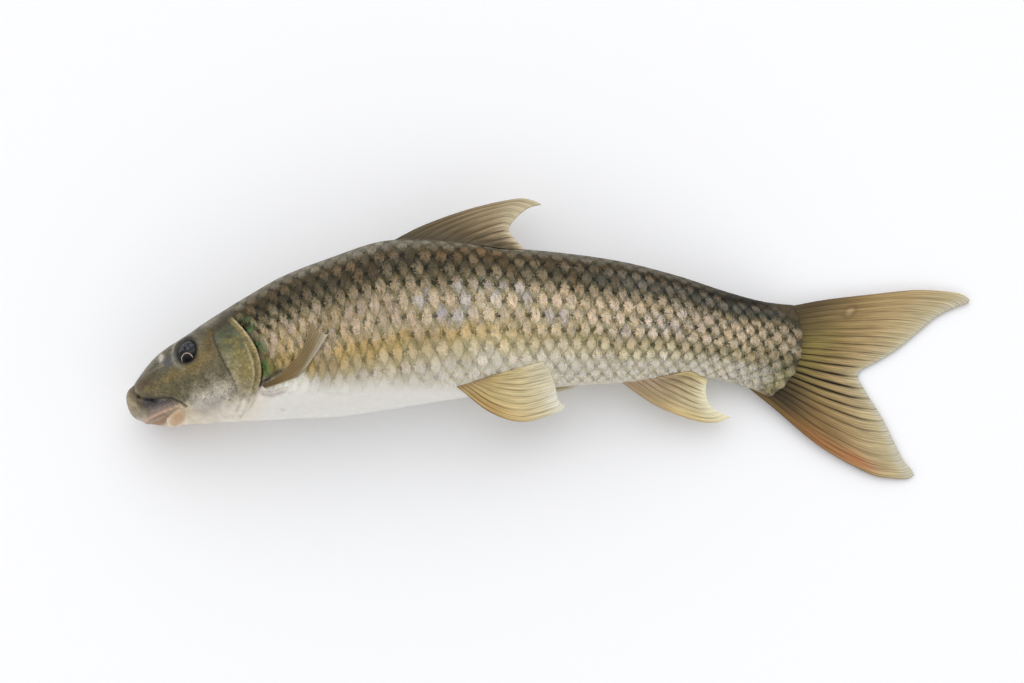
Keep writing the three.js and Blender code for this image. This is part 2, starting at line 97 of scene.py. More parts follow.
# One scale, in scale lengths rearward from its middle and rows down from it.
PLATE_FRONT = -0.42
PLATE_REAR = 0.75
PLATE_STEPS_ALONG = np.array([0, 0.25, 0.5, 0.75, 0.93, 1])
PLATE_STEPS_ACROSS = 12
PLATE_LOW = 0.05
PLATE_SLOPE = 0.3
PLATE_CROWN = 0.1
PLATE_THICKNESS = 0.28
PLATE_LEAST_SHARE = 0.06
PLATE_OVERHANG = 0.3
PLATE_OVERHANG_WANDER = 0.15
FRONT_RELIEF = 0.4
TUCK_DEPTH = 0.6
BELLY_SINK = 0.25
SKIN_UNDER_SCALES = 0.15
BARE_BELLY_STATIONS = [8, 9.2, 10.5, 12, 13.8, 15, 16, 18.2, 19.2, 20, 20.6]
BARE_BELLY_FROM = [98, 106, 122, 139, 152, 166, 170, 172, 190, 154, 144]
LATERAL_ROW = 7
BARE_BELLY_BLEND = 14

# ---- head

HEAD_STEP = 0.52
BODY_STEP = 1.7
LEFT_ROWS = 132
RIGHT_ROWS = 72
GILL_COVER_RISE = 0.75
GILL_COVER_SPREAD = 1.6
GILL_SLOT_DEPTH = 0.6
GILL_SLOT_LENGTH = 0.14
SNOUT_BUMPS = 0.25
DOME_RINGS = 28
DOME_SIDES = 48
EYE = {"x": -171.4, "y": -4.9, "along": 5.1, "across": 6, "bulge": 2.7, "sunk": 1.2, "taper": 0, "lean": 0}
EYE_BED_DEPTH = 1.6
EYE_RIM = {"rise": 0.5, "at": 1.17, "width": 0.9}
PUPIL = {"x": 1.6, "y": -3.9, "radius": 2.75}
NOSTRIL = {"x": -185.6, "y": -10.6, "radius": 1.1, "depth": 0.9}
NOSTRIL_FLAP = {"x": -184.2, "y": -8.8, "radius": 1.5, "rise": 0.4}
LOWER_LIP = {
    "x": -176.2, "y": -36.5, "along": 4.6, "across": 6.4, "bulge": 3, "sunk": 1.5, "taper": -0.3, "lean": 2.4,
}

SNOUT_GROOVE = [(-198.6, -21.6), (-197.6, -24.6), (-195.6, -26.6)]
MOUTH_SLIT = [(-195.6, -26.6), (-192, -28.3), (-188.4, -28.4)]
MOUTH_CORNER = [(-191, -28), (-186.6, -28.6)]
MOUTH_REAR = [(-188.4, -28.4), (-182.5, -27), (-178, -27.2), (-174, -29), (-171.2, -31)]
LIP_ROLL = [(-200.2, -27.5), (-198.4, -31), (-194.5, -35), (-191, -37.8)]
LIP_HOLLOW = [(-188.5, -32), (-183, -31.2), (-177.5, -29.9)]
LIP_RIM_LINE = [(-191.5, -38.8), (-187, -36), (-182, -33.8), (-173.5, -30.8)]
MOUTH_FLOOR_LINE = [(-189.5, -41), (-185.5, -39), (-181.5, -37)]
PREOPERCLE_LINE = [
    (-158.6, 2), (-157.2, -2), (-153.4, -9.6), (-149.8, -16), (-146.9, -22), (-145.6, -28),
]
COVER_TOP_LINE = (4.5, 0.62, -155.6)
FIN_POCKET_LINE = [(-136, -20.8), (-131.2, -17.4), (-126, -14)]
NOSTRIL_LINE = [(-189.7, -15.7), (-186, -13.2), (-182.2, -11.5)]
THROAT_LINE = [(-144.6, -25.7), (-145, -29), (-147.6, -33)]
THROAT_FOLD = [(-141, -27.5), (-143, -32), (-146, -36)]

# Relief along lines of the head: (line, rise, half width).
HEAD_RELIEF = [
    (SNOUT_GROOVE, -0.9, 0.9),
    (MOUTH_SLIT, -1, 0.9),
    (MOUTH_REAR, -0.6, 0.6),
    (LIP_ROLL, 0.6, 3.2),
    (LIP_HOLLOW, -0.7, 2.2),
    (LIP_RIM_LINE, 0.9, 1),
    (MOUTH_FLOOR_LINE, -1.2, 1.6),
    (PREOPERCLE_LINE, -0.55, 0.9),
    (THROAT_LINE, -0.4, 0.8),
    (THROAT_FOLD, -0.35, 0.7),
]

# ---- colours, as seen in even white light


def linear(red, green, blue):
    """A display colour from 0 to 255 as the linear colour that a shader takes."""
    share = np.array([red, green, blue]) / 255
    return np.where(share <= 0.04045, share / 12.92, ((share + 0.055) / 1.055) ** 2.4)


# Bands down the flank: degrees from the back, a scale's pale middle, its dark base. The row at 16 degrees is made
# lighter as painted sheen along the back's outline.
BANDS = [
    (0, (102, 92, 75), (64, 58, 46)),
    (16, (120, 111, 95), (74, 68, 56)),
    (23, (104, 95, 78), (52, 47, 36)),
    (30, (96, 81, 60), (34, 30, 18)),
    (46, (94, 84, 65), (26, 25, 15)),
    (56, (124, 111, 88), (37, 36, 21)),
    (66, (166, 149, 124), (74, 68, 42)),
    (90, (181, 165, 140), (92, 85, 56)),
    (102, (171, 155, 124), (92, 84, 54)),
    (116, (198, 188, 171), (130, 119, 101)),
    (128, (210, 202, 187), (172, 160, 144)),
]
# How many degrees further up the pale flank begins, by station.
FLANK_SHIFT_STATIONS = [8.2, 9.2, 10.2, 11.7, 13, 14.6, 16, 17.6, 19.2, 20.6]
FLANK_SHIFT = [4, 3, 0, -4, 2, 4, -4, -3, 4, 7]
BELLY_WHITE = linear(228, 225, 217)
BELLY_CREAM = linear(206, 199, 184)
LILAC = linear(164, 160, 162)
ROSE_GREY = linear(168, 154, 144)
SLATE_PALE = linear(100, 97, 90)
SLATE_DARK = linear(42, 45, 44)
PINK = linear(190, 165, 146)
GOLD = linear(188, 155, 96)
STRAW = linear(200, 187, 146)
RUST = linear(124, 90, 54)
# Dark bases of the rear scales; also painted shade where the last scales meet the tail fin.
REAR_DARK = linear(56, 54, 42)
EMERALD = linear(84, 128, 78)
# Painted sheen: a grey reflection laid into the colour of the scales along the back's outline.
BACK_SHEEN = linear(122, 118, 108)
ROOT_TAN = linear(174, 164, 128)
ROOT_BROWN = linear(150, 138, 112)
ROOT_GREEN = linear(94, 90, 62)
ROOT_DARK = linear(82, 70, 52)
HEEL_BROWN = linear(124, 106, 74)
LATERAL_PORE = linear(62, 46, 36)
NAPE_SCALE = linear(76, 72, 46)

FOREHEAD = linear(84, 78, 62)
# Top of the snout: its olive-grey colour, made paler as painted sheen.
SNOUT_TOP = linear(108, 104, 90)
# Painted sheen: a grey highlight along the nape's outline.
NAPE_SHEEN = linear(136, 132, 122)
NAPE_DARK = linear(52, 45, 32)
SNOUT_BROWN = linear(72, 57, 39)
CHEEK_OLIVE = linear(96, 90, 68)
CHEEK_GOLD = linear(118, 102, 62)
CHEEK_BRONZE = linear(104, 92, 62)
CHEEK_YELLOW = linear(88, 71, 32)
CHEEK_GREY = linear(98, 92, 72)
CHEEK_SILVER = linear(180, 172, 162)
UNDER_CHEEK = linear(192, 175, 144)
CHIN = linear(223, 209, 186)
COVER_TOP = linear(66, 69, 46)
COVER_GREEN = linear(98, 97, 72)
COVER_MIDDLE = linear(142, 132, 104)
COVER_LOW = linear(160, 148, 118)
COVER_OLIVE = linear(122, 112, 62)
COVER_BLUE = linear(104, 108, 88)
COVER_RIM = linear(126, 110, 68)
COVER_EDGE = linear(172, 158, 128)
COVER_FOLD = linear(190, 178, 138)
# Painted shade in the grooves of the snout, mouth and cheek and in the gill cover's fold.
GROOVE_SHADE = linear(54, 46, 30)
# Painted shadow inside the slit of the mouth.
SLIT_SHADOW = linear(20, 16, 16)
SLIT_SHADE = linear(50, 46, 50)
LIP_BROWN = linear(150, 139, 117)
# Painted shade at the top of the lip roll, under the snout's overhang.
LIP_TOP_SHADE = linear(92, 76, 58)
LIP_PALE = linear(182, 166, 150)
LIP_PURPLE = linear(76, 71, 75)
LIP_MAUVE = linear(138, 121, 112)
LIP_PINK = linear(186, 154, 132)
# Painted shade under the lip's pink rim, down into the mouth and along the throat's folds.
LIP_CREASE_SHADE = linear(112, 86, 66)
MOUTH_FLOOR = linear(158, 126, 98)
LIP_PEACH = linear(200, 170, 136)
LIP_PEACH_DEEP = linear(178, 146, 114)
NOSTRIL_PALE = linear(178, 175, 166)
NOSTRIL_DARK = linear(62, 58, 44)
SNOUT_RIDGE = linear(170, 165, 148)
SNOUT_OLIVE = linear(80, 76, 56)
BLUE_GREY = linear(74, 76, 81)
EYELID_GREY = linear(128, 125, 113)
EYELID_DARK = linear(44, 42, 36)
THROAT_WHITE = linear(226, 217, 202)
# Painted shade in the gill slot behind the cover and in the pocket above the pectoral fin.
SLOT_SHADE = linear(36, 32, 22)
NAPE_GREEN = linear(66, 70, 42)
PECTORAL_OLIVE = linear(98, 92, 46)
FOLD_PALE = linear(200, 186, 168)
FOLD_SHADE = linear(160, 150, 142)
UPPER_HEAD_TINT = np.array([1, 0.98, 0.9])


# ---- small maths


def smooth(value, low, high):
    """Rises softly from 0 at low to 1 at high."""
    share = np.clip((value - low) / (high - low), 0, 1)
    return share * share * (3 - 2 * share)


def fall(value, low, high):
    return 1 - smooth(value, low, high)


def band(value, low, full, ebb, high):
    """Rises from low to full, then falls from ebb to high."""
    return smooth(value, low, full) * fall(value, ebb, high)


def bell(distance, width):
    return np.exp(-((distance / width) ** 2))


def mix(first, second, share):
    """Blends colours of shape (..., 3) by a share of shape (...)."""
    share = np.clip(share, 0, 1)[..., None]
    return first * (1 - share) + second * share


def paint(tone, *coats):
    """Lays coats of (colour, share) over a tone, one after the other."""
    for colour, share in coats:
        tone = mix(tone, colour, share)
    return tone


def distance_to_line(x, y, line):
    least = np.full(np.shape(x), np.inf)
    for (ax, ay), (bx, by) in zip(line, line[1:]):
        length2 = (bx - ax) ** 2 + (by - ay) ** 2
        share = np.clip(((x - ax) * (bx - ax) + (y - ay) * (by - ay)) / length2, 0, 1)
        gap = np.hypot(x - ax - share * (bx - ax), y - ay - share * (by - ay))
        least = np.minimum(least, gap)
    return least


def soft_noise(x, y, size, seed):
    """Smooth noise from 0 to 1 over a plane, with features about size across."""
    table = np.random.default_rng(seed).random((64, 64))
    x, y = np.asarray(x) / size, np.asarray(y) / size
    i, j = np.floor(x).astype(int), np.floor(y).astype(int)
    fx, fy = smooth(x - i, 0, 1), smooth(y - j, 0, 1)
    low = table[i % 64, j % 64] * (1 - fx) + table[(i + 1) % 64, j % 64] * fx
    high = table[i % 64, (j + 1) % 64] * (1 - fx) + table[(i + 1) % 64, (j + 1) % 64] * fx
    return low * (1 - fy) + high * fy


# ---- the body's smooth form


def section_at(s):
    """The body's section at station numbers s, by a cubic curve through the stations."""
    s = np.asarray(s, float)
    last = LAST_STATION
    i = np.clip(np.floor(s).astype(int), 0, last - 1)
    f = (s - i)[..., None]
    start, end = BODY_STATIONS[i], BODY_STATIONS[i + 1]
    before, after = BODY_STATIONS[np.maximum(i - 1, 0)], BODY_STATIONS[np.minimum(i + 2, last)]
    leave = (end - before) / np.where(i > 0, 2, 1)[..., None]
    arrive = (after - start) / np.where(i + 2 <= last, 2, 1)[..., None]
    bend = 2 * (start - end) + leave + arrive
    lift = 3 * (end - start) - 2 * leave - arrive
    value = start + f * (leave + f * (lift + f * bend))
    back_x, back_y, belly_x, belly_y, half_thickness, mid_height, bow = np.moveaxis(value, -1, 0)
    half_x, half_y = (back_x - belly_x) / 2, (back_y - belly_y) / 2
    half_depth = np.maximum(np.hypot(half_x, half_y), 1e-6)
    return {
        "x": (back_x + belly_x) / 2,
        "y": (back_y + belly_y) / 2,
        "half_x": half_x,
        "half_y": half_y,
        "half_depth": half_depth,
        "rear_x": half_y / half_depth,
        "rear_y": -half_x / half_depth,
        "half_thickness": np.maximum(half_thickness, 0),
        "mid_height": mid_height,
        "bow": bow,
    }


def smooth_skin(s, t):
    """Points of the smooth skin. t goes round the section: 0 back, pi/2 left flank, pi belly."""
    c = section_at(s)
    across = np.cos(t) + BELLY_LEAN * np.sin(t) ** 2
    bow = c["bow"] * np.sin(t) ** 2
    side = np.sign(np.sin(t)) * np.abs(np.sin(t)) ** SECTION_FULLNESS
    return np.stack([
        c["x"] + c["half_x"] * across + c["rear_x"] * bow,
        c["y"] + c["half_y"] * across + c["rear_y"] * bow,
        c["mid_height"] + c["half_thickness"] * side,
    ], axis=-1)


def skin_normal(s, t):
    step = 0.02
    s = np.clip(s, 0.3, LAST_STATION - step)
    along = smooth_skin(s + step, t) - smooth_skin(s - step, t)
    around = smooth_skin(s, t + step) - smooth_skin(s, t - step)
    normal = np.cross(around, along)
    return normal / np.maximum(np.linalg.norm(normal, axis=-1, keepdims=True), 1e-9)


def skin(s, t, rise):
    """Points of the skin raised along its normal, pressed flat where they would pass below the surface."""
    point = smooth_skin(s, t) + skin_normal(s, t) * rise[..., None]
    point[..., 2] = np.maximum(point[..., 2], 0)
    return point


def flank_place(x, y):
    """Station, angle and height of the upper flank over places in plan; height is NaN beside the body."""
    s = np.full(np.shape(x), GILL_STATION)
    for _ in range(40):
        c = section_at(s)
        dx, dy = x - c["x"], y - c["y"]
        across = (dx * c["half_x"] + dy * c["half_y"]) / c["half_depth"] ** 2
        short = dx * c["rear_x"] + dy * c["rear_y"] - c["bow"] * np.maximum(1 - across**2, 0)
        ahead = section_at(np.minimum(s + 0.1, LAST_STATION))
        speed = np.maximum(np.hypot(ahead["x"] - c["x"], ahead["y"] - c["y"]) / 0.1, 5)
        s = np.clip(s + 0.8 * short / speed, 0.5, LAST_STATION)
    c = section_at(s)
    open_share = np.sqrt(np.maximum(1 - across**2, 0)) ** SECTION_FULLNESS
    height = c["mid_height"] + c["half_thickness"] * open_share
    beside = (np.abs(across) >= 1) | (s >= LAST_STATION)
    return s, np.arccos(np.clip(across, -1, 1)), np.where(beside, np.nan, height)


def scale_counts():
    """A fine table of station numbers and how many scale lengths each lies behind the first."""
    s = np.arange(SCALES_START - 0.5, LAST_STATION + 0.6, 0.005)
    c = section_at(s)
    x = c["x"] + c["rear_x"] * c["bow"]
    length = SCALE_LENGTH_TAIL + SCALE_LENGTH_EXTRA * bell(x - SCALE_LENGTH_PEAK_X, SCALE_LENGTH_FADE)
    step = np.hypot(np.hypot(np.diff(c["x"]), np.diff(c["y"])), np.diff(c["bow"]))
    count = np.concatenate([[0], np.cumsum(step / length[1:])])
    return s, count - np.interp(SCALES_START, s, count)


COUNT_STATIONS, COUNTS = scale_counts()


def fold(t):
    """The angle from the back, 0 to 180 degrees, alike on both flanks."""
    degrees = np.degrees(t) % 360
    return 180 - np.abs(180 - degrees)


def outline_share(t):
    """Keeps relief low along the back's outline: 0.3 on the back, 1 on the flank."""
    return 0.3 + 0.7 * smooth(fold(t), 10, 40)


def scaled_share(s, t):
    """How far the skin carries scales: 0 on the head, throat and bare belly."""
    bare_from = np.interp(s, BARE_BELLY_STATIONS, BARE_BELLY_FROM)
    above = fall(fold(t), bare_from - BARE_BELLY_BLEND, bare_from + BARE_BELLY_BLEND)
    behind = 0.5 + 0.5 * smooth(s, GILL_STATION + 0.2, GILL_STATION + 1.4)
    return above * behind * (s > GILL_STATION)


# ---- relief of the head


def gill_share(t):
    return smooth(np.abs(np.sin(t)), 0.46, 0.7)


def from_eye(x, y):
    """Distance from the middle of the eye, 1 at its rim."""
    return np.hypot((x - EYE["x"]) / EYE["along"], (y - EYE["y"]) / EYE["across"])


def head_relief(x, y):
    rise = np.zeros(np.shape(x))
    for line, height, width in HEAD_RELIEF:
        rise += height * bell(distance_to_line(x, y, line), width)
    rise -= NOSTRIL["depth"] * bell(np.hypot(x - NOSTRIL["x"], y - NOSTRIL["y"]), NOSTRIL["radius"])
    flap = np.hypot(x - NOSTRIL_FLAP["x"], y - NOSTRIL_FLAP["y"])
    rise += NOSTRIL_FLAP["rise"] * bell(flap, NOSTRIL_FLAP["radius"])
    rise -= EYE_BED_DEPTH * fall(from_eye(x, y), 0.75, 1)
    rise += EYE_RIM["rise"] * bell((from_eye(x, y) - EYE_RIM["at"]) * EYE["along"], EYE_RIM["width"])
    rise += SNOUT_BUMPS * (soft_noise(x, y, 3.2, 5) - 0.5)
    return rise


def body_relief(s, t):
    place = smooth_skin(s, t)
    past_gill = s - GILL_STATION
    facing = (0.25 + 0.75 * smooth(np.abs(np.sin(t)), 0.08, 0.5)) * smooth(s, 0.2, 2)
    cover = GILL_COVER_RISE * smooth(past_gill, -GILL_COVER_SPREAD, 0) * gill_share(t)
    lip = fall(past_gill, -0.05, 0)
    rise = facing * head_relief(place[..., 0], place[..., 1]) + cover * (0.35 + 0.65 * lip)
    rise *= fall(past_gill, -0.02, 0.02)
    rise -= GILL_SLOT_DEPTH * (s >= GILL_STATION) * fall(past_gill, 0.05, GILL_SLOT_LENGTH) * gill_share(t)
    return rise - SKIN_UNDER_SCALES * scaled_share(s, t) * outline_share(t)


# ---- colours over the skin


def tones_at(tones, share, column=1):
    """Colours along rows of (share, display colour, ...), from one column of them."""
    colours = np.array([linear(*row[column]) for row in tones])
    return np.stack([np.interp(share, [row[0] for row in tones], colours[:, k]) for k in range(3)], axis=-1)


def flank_level(s, angle):
    """How bright the scales are, patch by patch along the body and down it."""
    upper = band(angle, 30, 42, 90, 100)
    return (
        1 - 0.14 * fall(s, 10.8, 12.8) * band(angle, 52, 64, 94, 106)
        + 0.08 * upper + 0.1 * upper * smooth(s, 14.5, 16)
        + 0.14 * band(angle, 24, 30, 52, 62)
        - 0.15 * smooth(s, 13, 14.6) * fall(angle, 30, 38)
        - 0.42 * band(s, 14.5, 17.5, 18.6, 20) * fall(angle, 26, 44)
        - 0.02 * smooth(s, 16.5, 18.5) - 0.1 * smooth(s, 18.3, 19.3) - 0.34 * smooth(s, 19.6, 20.6)
        - 0.22 * smooth(s, 16.5, 18.5) * fall(angle, 24, 36)
        - 0.22 * smooth(s, 19.6, 20.3) * bell(angle - 120, 9)
        - 0.16 * smooth(s, 18.5, 19.5) * bell(angle - 118, 12)
        - 0.08 * smooth(s, 17.5, 19.5) * smooth(angle, 104, 120)
        + 0.16 * band(s, 12.5, 14, 16.5, 18) * band(angle, 54, 70, 116, 130)
        - 0.24 * fall(s, 13, 15) * bell(angle - 40, 8)
        - 0.26 * band(s, 16, 17, 18.6, 19.4) * bell(angle - 50, 7)
        + 0.18 * bell(s - 14, 0.8) * bell(angle - 45, 8)
        + 0.2 * bell(s - 17, 0.9) * fall(angle, 20, 28)
        + 0.12 * bell(s - 16.2, 1.2) * bell(angle - 110, 7)
    )


def flank_tones(s, t, x, y, hue, jitter):
    """The pale colour of a scale's middle and the dark colour of its base, from hue and jitter in 0 to 1."""
    wander = 9 * (soft_noise(x, y, 17, 11) - 0.5) + np.interp(s, FLANK_SHIFT_STATIONS, FLANK_SHIFT)
    angle = fold(t) + wander + 5 * (jitter - 0.5)
    drift = 0.62 * soft_noise(x, 1.6 * y, 15, 12) + 0.38 * hue
    flank = band(angle, 54, 70, 116, 130)
    above = flank * fall(angle, 88, 104)
    cool = mix(LILAC, ROSE_GREY, smooth(s, 14.2, 15.8))
    slate = band(s, 14.8, 16.4, 19.6, 20.4) * bell(angle - 43, 11)
    rusty = band(angle, 22, 32, 46, 60) * fall(s, 16, 18) * smooth(hue, 0.45, 0.85)
    front_gold = flank * fall(s, 12.5, 15.5) * bell(angle - 102, 11)
    belly_from = 103 + 9 * smooth(s, 9.8, 11) + 18 * smooth(s, 10.8, 14) + 16 * smooth(s, 12, 14.6)
    belly = smooth(angle, belly_from, belly_from + 24)
    white = mix(BELLY_WHITE, BELLY_CREAM, smooth(s, 12.5, 15.5))
    pale = paint(
        tones_at(BANDS, angle, 1),
        (cool, above * (0.3 + 0.45 * band(s, 11.5, 13, 17.5, 19)) * smooth(drift, 0.5, 0.72)),
        (PINK, above * (0.45 - 0.25 * smooth(s, 15, 17.5)) * fall(drift, 0.28, 0.46)),
        (SLATE_PALE, 0.6 * slate),
        (RUST, (0.14 + 0.18 * smooth(s, 11, 12.5)) * rusty),
        (GOLD, front_gold * (0.25 + 0.6 * smooth(drift, 0.3, 0.65))),
        (GOLD, 0.4 * flank * fall(s, 10.5, 12) * smooth(drift, 0.3, 0.55)),
        (STRAW, 0.55 * flank * bell(angle - 112, 10) * smooth(drift, 0.35, 0.6)),
        (GOLD, 0.35 * flank * smooth(s, 17.5, 19.5) * smooth(drift, 0.5, 0.7)),
        # Painted sheen along the back's outline, fading rearward.
        (BACK_SHEEN, 0.6 * bell(angle - 12, 10) * (1 - 0.6 * smooth(s, 12, 14.5))),
        (white, belly),
    )
    dark = paint(
        tones_at(BANDS, angle, 2),
        (SLATE_DARK, 0.7 * slate),
        (REAR_DARK, 0.8 * smooth(s, 14.5, 18) * band(angle, 50, 66, 106, 128)),
        (white * 0.93, belly * (1 - 0.35 * smooth(s, 13, 16))),
    )

    past_gill = s - GILL_STATION
    level = flank_level(s, angle)[..., None]
    root = 0.85 * smooth(s, 19.3, 20.6) * smooth(angle, 104, 120)
    heel = 0.4 * smooth(s, 19.9, 20.3) * smooth(angle, 138, 150)
    top_root = smooth(s, 19, 20.3) * fall(angle, 30, 46)
    beside_gill = band(angle, 30, 46, 100, 118)
    near = fall(past_gill, 0.2, 0.6) * beside_gill
    olive = 0.9 * fall(past_gill, 0.7, 1.1) * bell(fold(t) - 98, 10)
    green = 0.6 * near * smooth(soft_noise(x, y, 2, 35), 0.42, 0.62)
    # The gill slot and the pocket above the pectoral fin get painted shade.
    pocket = bell(distance_to_line(x, y, FIN_POCKET_LINE), 1.3)
    slot = 0.8 * np.maximum(fall(past_gill, 0.02, 0.07) * beside_gill, pocket)
    pale = paint(
        pale * level,
        (mix(ROOT_TAN, ROOT_BROWN, smooth(angle, 150, 168)), root), (HEEL_BROWN, heel), (ROOT_DARK, 0.8 * top_root),
        (NAPE_SCALE, 0.75 * near), (PECTORAL_OLIVE, olive), (EMERALD, green), (SLOT_SHADE, slot),
    )
    dark = paint(
        dark * level,
        (ROOT_GREEN, root), (HEEL_BROWN, heel), (ROOT_DARK, 0.6 * top_root),
        (NAPE_SCALE * 0.5, 0.6 * near), (PECTORAL_OLIVE * 0.6, olive), (EMERALD * 0.4, green), (SLOT_SHADE, slot),
    )
    return pale, dark


# Patches of colour on the head: (colour, line or single place, half width, strength).
HEAD_PATCHES = [
    # Top of the snout, paler as painted sheen.
    (SNOUT_TOP, [(-192.5, -14.5), (-187.5, -11)], 3, 0.8),
    # Painted sheen along the nape's outline.
    (NAPE_SHEEN, [(-164, 7.5), (-150, 16)], 2.2, 0.5),
    (NAPE_DARK, [(-159.5, 4.4), (-150, 10.4), (-145, 14)], 1.9, 0.9),
    (SNOUT_BROWN, [(-195.5, -22.5), (-189, -19.5)], 3.6, 0.8),
    (CHEEK_BRONZE, [(-190.5, -23.2), (-184, -19.2)], 2.3, 0.8),
    (CHEEK_GOLD, [(-180, -17), (-175.5, -15)], 2.7, 0.85),
    (CHEEK_GOLD, [(-169, -12.5), (-164.5, -8.8), (-160, -5.2)], 3.6, 0.8),
    (CHEEK_YELLOW, [(-160.5, -4), (-160.4, 3)], 2, 0.85),
    (CHEEK_GREY, [(-173, -19.8), (-166, -19)], 3.4, 0.6),
    (CHEEK_SILVER, [(-163.5, -29.5), (-157, -27), (-153, -23)], 6.4, 0.95),
    (CHEEK_OLIVE, [(-156.5, -13.5), (-152.5, -18)], 2.4, 0.6),
    (COVER_TOP, [(-154.5, 3.5), (-149.5, 6.8)], 2.8, 0.95),
    (BLUE_GREY, [(-180.6, -10.6), (-177.8, -7.4)], 2.4, 0.9),
    (SNOUT_OLIVE, [(-187.5, -17.2), (-181.5, -14.8)], 2.4, 0.6),
    (NOSTRIL_DARK, [(-188.8, -14), (-184.4, -10.3)], 1.2, 0.7),
    (NOSTRIL_PALE, [(-184, -8), (-184.3, -9.2)], 1.3, 0.8),
    (LIP_BROWN, [(-200, -27), (-197.5, -32), (-193.5, -36)], 4.4, 0.9),
    # Painted shade at the top of the lip roll, under the snout.
    (LIP_TOP_SHADE, [(-199.5, -24), (-196.5, -27.5), (-192.5, -30.5)], 1.7, 0.8),
    (LIP_PALE, [(-195, -37.6), (-191.5, -38.4)], 2, 0.85),
    (LIP_PURPLE, [(-190.5, -30.5), (-186, -30.4), (-180.5, -29.2)], 2.5, 0.95),
    (LIP_MAUVE, [(-188.5, -33.8), (-183, -32.2), (-177, -30.2)], 1.7, 0.8),
    (MOUTH_FLOOR, [(-189, -40.5), (-185, -38.8), (-181, -36.6)], 2.4, 0.95),
    (LIP_PINK, [(-191.5, -38.2), (-187, -35.8), (-182, -33.6), (-175.5, -31)], 0.7, 0.8),
    # Painted shade under the lip's pink rim and down beside the lower lip's lobe.
    (LIP_CREASE_SHADE, [(-187.5, -37.2), (-182, -34.8), (-179.6, -36.5), (-179.8, -39)], 0.5, 0.6),
    # Painted shade along the grooves of the snout and mouth and the line across the cheek.
    (GROOVE_SHADE, SNOUT_GROOVE, 0.7, 0.7),
    (GROOVE_SHADE, MOUTH_REAR, 0.5, 0.8),
    (GROOVE_SHADE, MOUTH_SLIT, 0.6, 0.8),
    # Painted shade and shadow in the corner of the mouth's slit.
    (SLIT_SHADE, MOUTH_CORNER, 1.7, 0.85),
    (SLIT_SHADOW, MOUTH_CORNER, 0.8, 0.85),
    (GROOVE_SHADE, PREOPERCLE_LINE[:4], 0.6, 0.7),
    (GROOVE_SHADE, PREOPERCLE_LINE[3:5], 0.6, 0.3),
    (SNOUT_RIDGE, NOSTRIL_LINE, 0.6, 0.15),
    # Painted shade along the throat's folds.
    (LIP_CREASE_SHADE, THROAT_LINE, 0.8, 0.25),
    (LIP_CREASE_SHADE, THROAT_FOLD, 0.7, 0.2),
]
SKIN_SPOTS = [(-150.3, -27.7), (-125.8, -32.5)]
FIN_BASE_FOLD = [(-135.3, -23.4), (-130, -24), (-124.6, -21.9)]
FIN_BASE_SHADE = [(-134.8, -25), (-130.4, -25.8), (-125, -23.9)]


def head_tone(s, t, x, y):
    """The colour of the head: broad tones, the gill cover, the patches of the table, then the edges."""
    angle, edge, at_gill = fold(t), s - GILL_STATION, gill_share(t)
    patchy, ragged = soft_noise(x, y, 2.4, 21) - 0.5, soft_noise(x, y, 1.1, 22) - 0.5
    cloudy = soft_noise(x, y, 4.6, 23)
    line_x = np.interp(-y, [-place[1] for place in PREOPERCLE_LINE], [place[0] for place in PREOPERCLE_LINE])
    top_y = COVER_TOP_LINE[0] + COVER_TOP_LINE[1] * (x - COVER_TOP_LINE[2])
    cover = smooth(x - line_x + 0.8 * patchy, -0.4, 0.6) * fall(angle + 8 * patchy, 108, 130)
    cover = cover * smooth(top_y - y, -0.6, 0.6)
    tone = paint(
        FOREHEAD,
        (CHEEK_OLIVE, smooth(angle, 52, 78)),
        (UNDER_CHEEK, smooth(angle + 8 * patchy, 108, 126) * smooth(s, 4.6, 6)),
        (CHIN, smooth(angle, 122, 146) * smooth(s, 3.4, 4.8)),
        (COVER_TOP, cover),
        (COVER_GREEN, cover * smooth(angle + 14 * patchy, 48, 66)),
        (COVER_MIDDLE, cover * smooth(angle + 16 * patchy, 62, 84)),
        (COVER_LOW, cover * smooth(angle + 10 * patchy, 98, 124)),
        (COVER_BLUE, 0.5 * cover * smooth(cloudy, 0.56, 0.72) * fall(angle, 84, 96)),
        (COVER_OLIVE, 0.45 * cover * fall(cloudy, 0.3, 0.46)),
        (THROAT_WHITE, smooth(angle + 6 * patchy, 112, 134) * smooth(s, 6.4, 7.8)),
    )
    for colour, line, width, strength in HEAD_PATCHES:
        reach = bell(distance_to_line(x, y, line), width * (1 + 0.35 * patchy + 0.15 * ragged))
        tone = mix(tone, colour, strength * np.minimum(1.15 * reach, 1))
    upper = at_gill * fall(angle, 112, 132)
    folded = upper * smooth(angle, 58, 76)
    olive = bell(edge + 0.48 + 0.05 * patchy, 0.22) * upper * band(angle, 48, 62, 94, 110)
    rim_to = 1 - 0.75 * smooth(angle, 92, 112) - 0.25 * smooth(angle, 110, 124)
    ahead_of_eye = 0.5 - 0.5 * np.tanh(0.4 * (x - EYE["x"]))
    tone = paint(
        tone,
        (NAPE_DARK, 0.75 * smooth(edge, -0.8, -0.05) * fall(angle, 36, 50)),
        (COVER_OLIVE, 0.8 * olive * smooth(ragged + patchy, -0.5, 0.2)),
        (COVER_RIM, 0.85 * at_gill * rim_to * smooth(edge, -0.24, -0.17)),
        (COVER_FOLD, 0.6 * folded * bell(edge + 0.26, 0.028)),
        # Painted shade in the gill cover's fold.
        (GROOVE_SHADE, 0.5 * folded * bell(edge + 0.19, 0.022)),
        (COVER_EDGE, 0.8 * at_gill * fall(angle, 104, 124) * smooth(edge, -0.1, -0.05)),
        (EYELID_GREY, 0.7 * bell(from_eye(x, y) - 1.42, 0.16) * ahead_of_eye),
        (EYELID_DARK, 0.85 * fall(from_eye(x, y), 1.06, 1.26)),
    )
    tone = mix(tone, tone * UPPER_HEAD_TINT, fall(angle, 100, 120))
    return tone * (1 + 0.26 * patchy + 0.18 * ragged)[..., None]


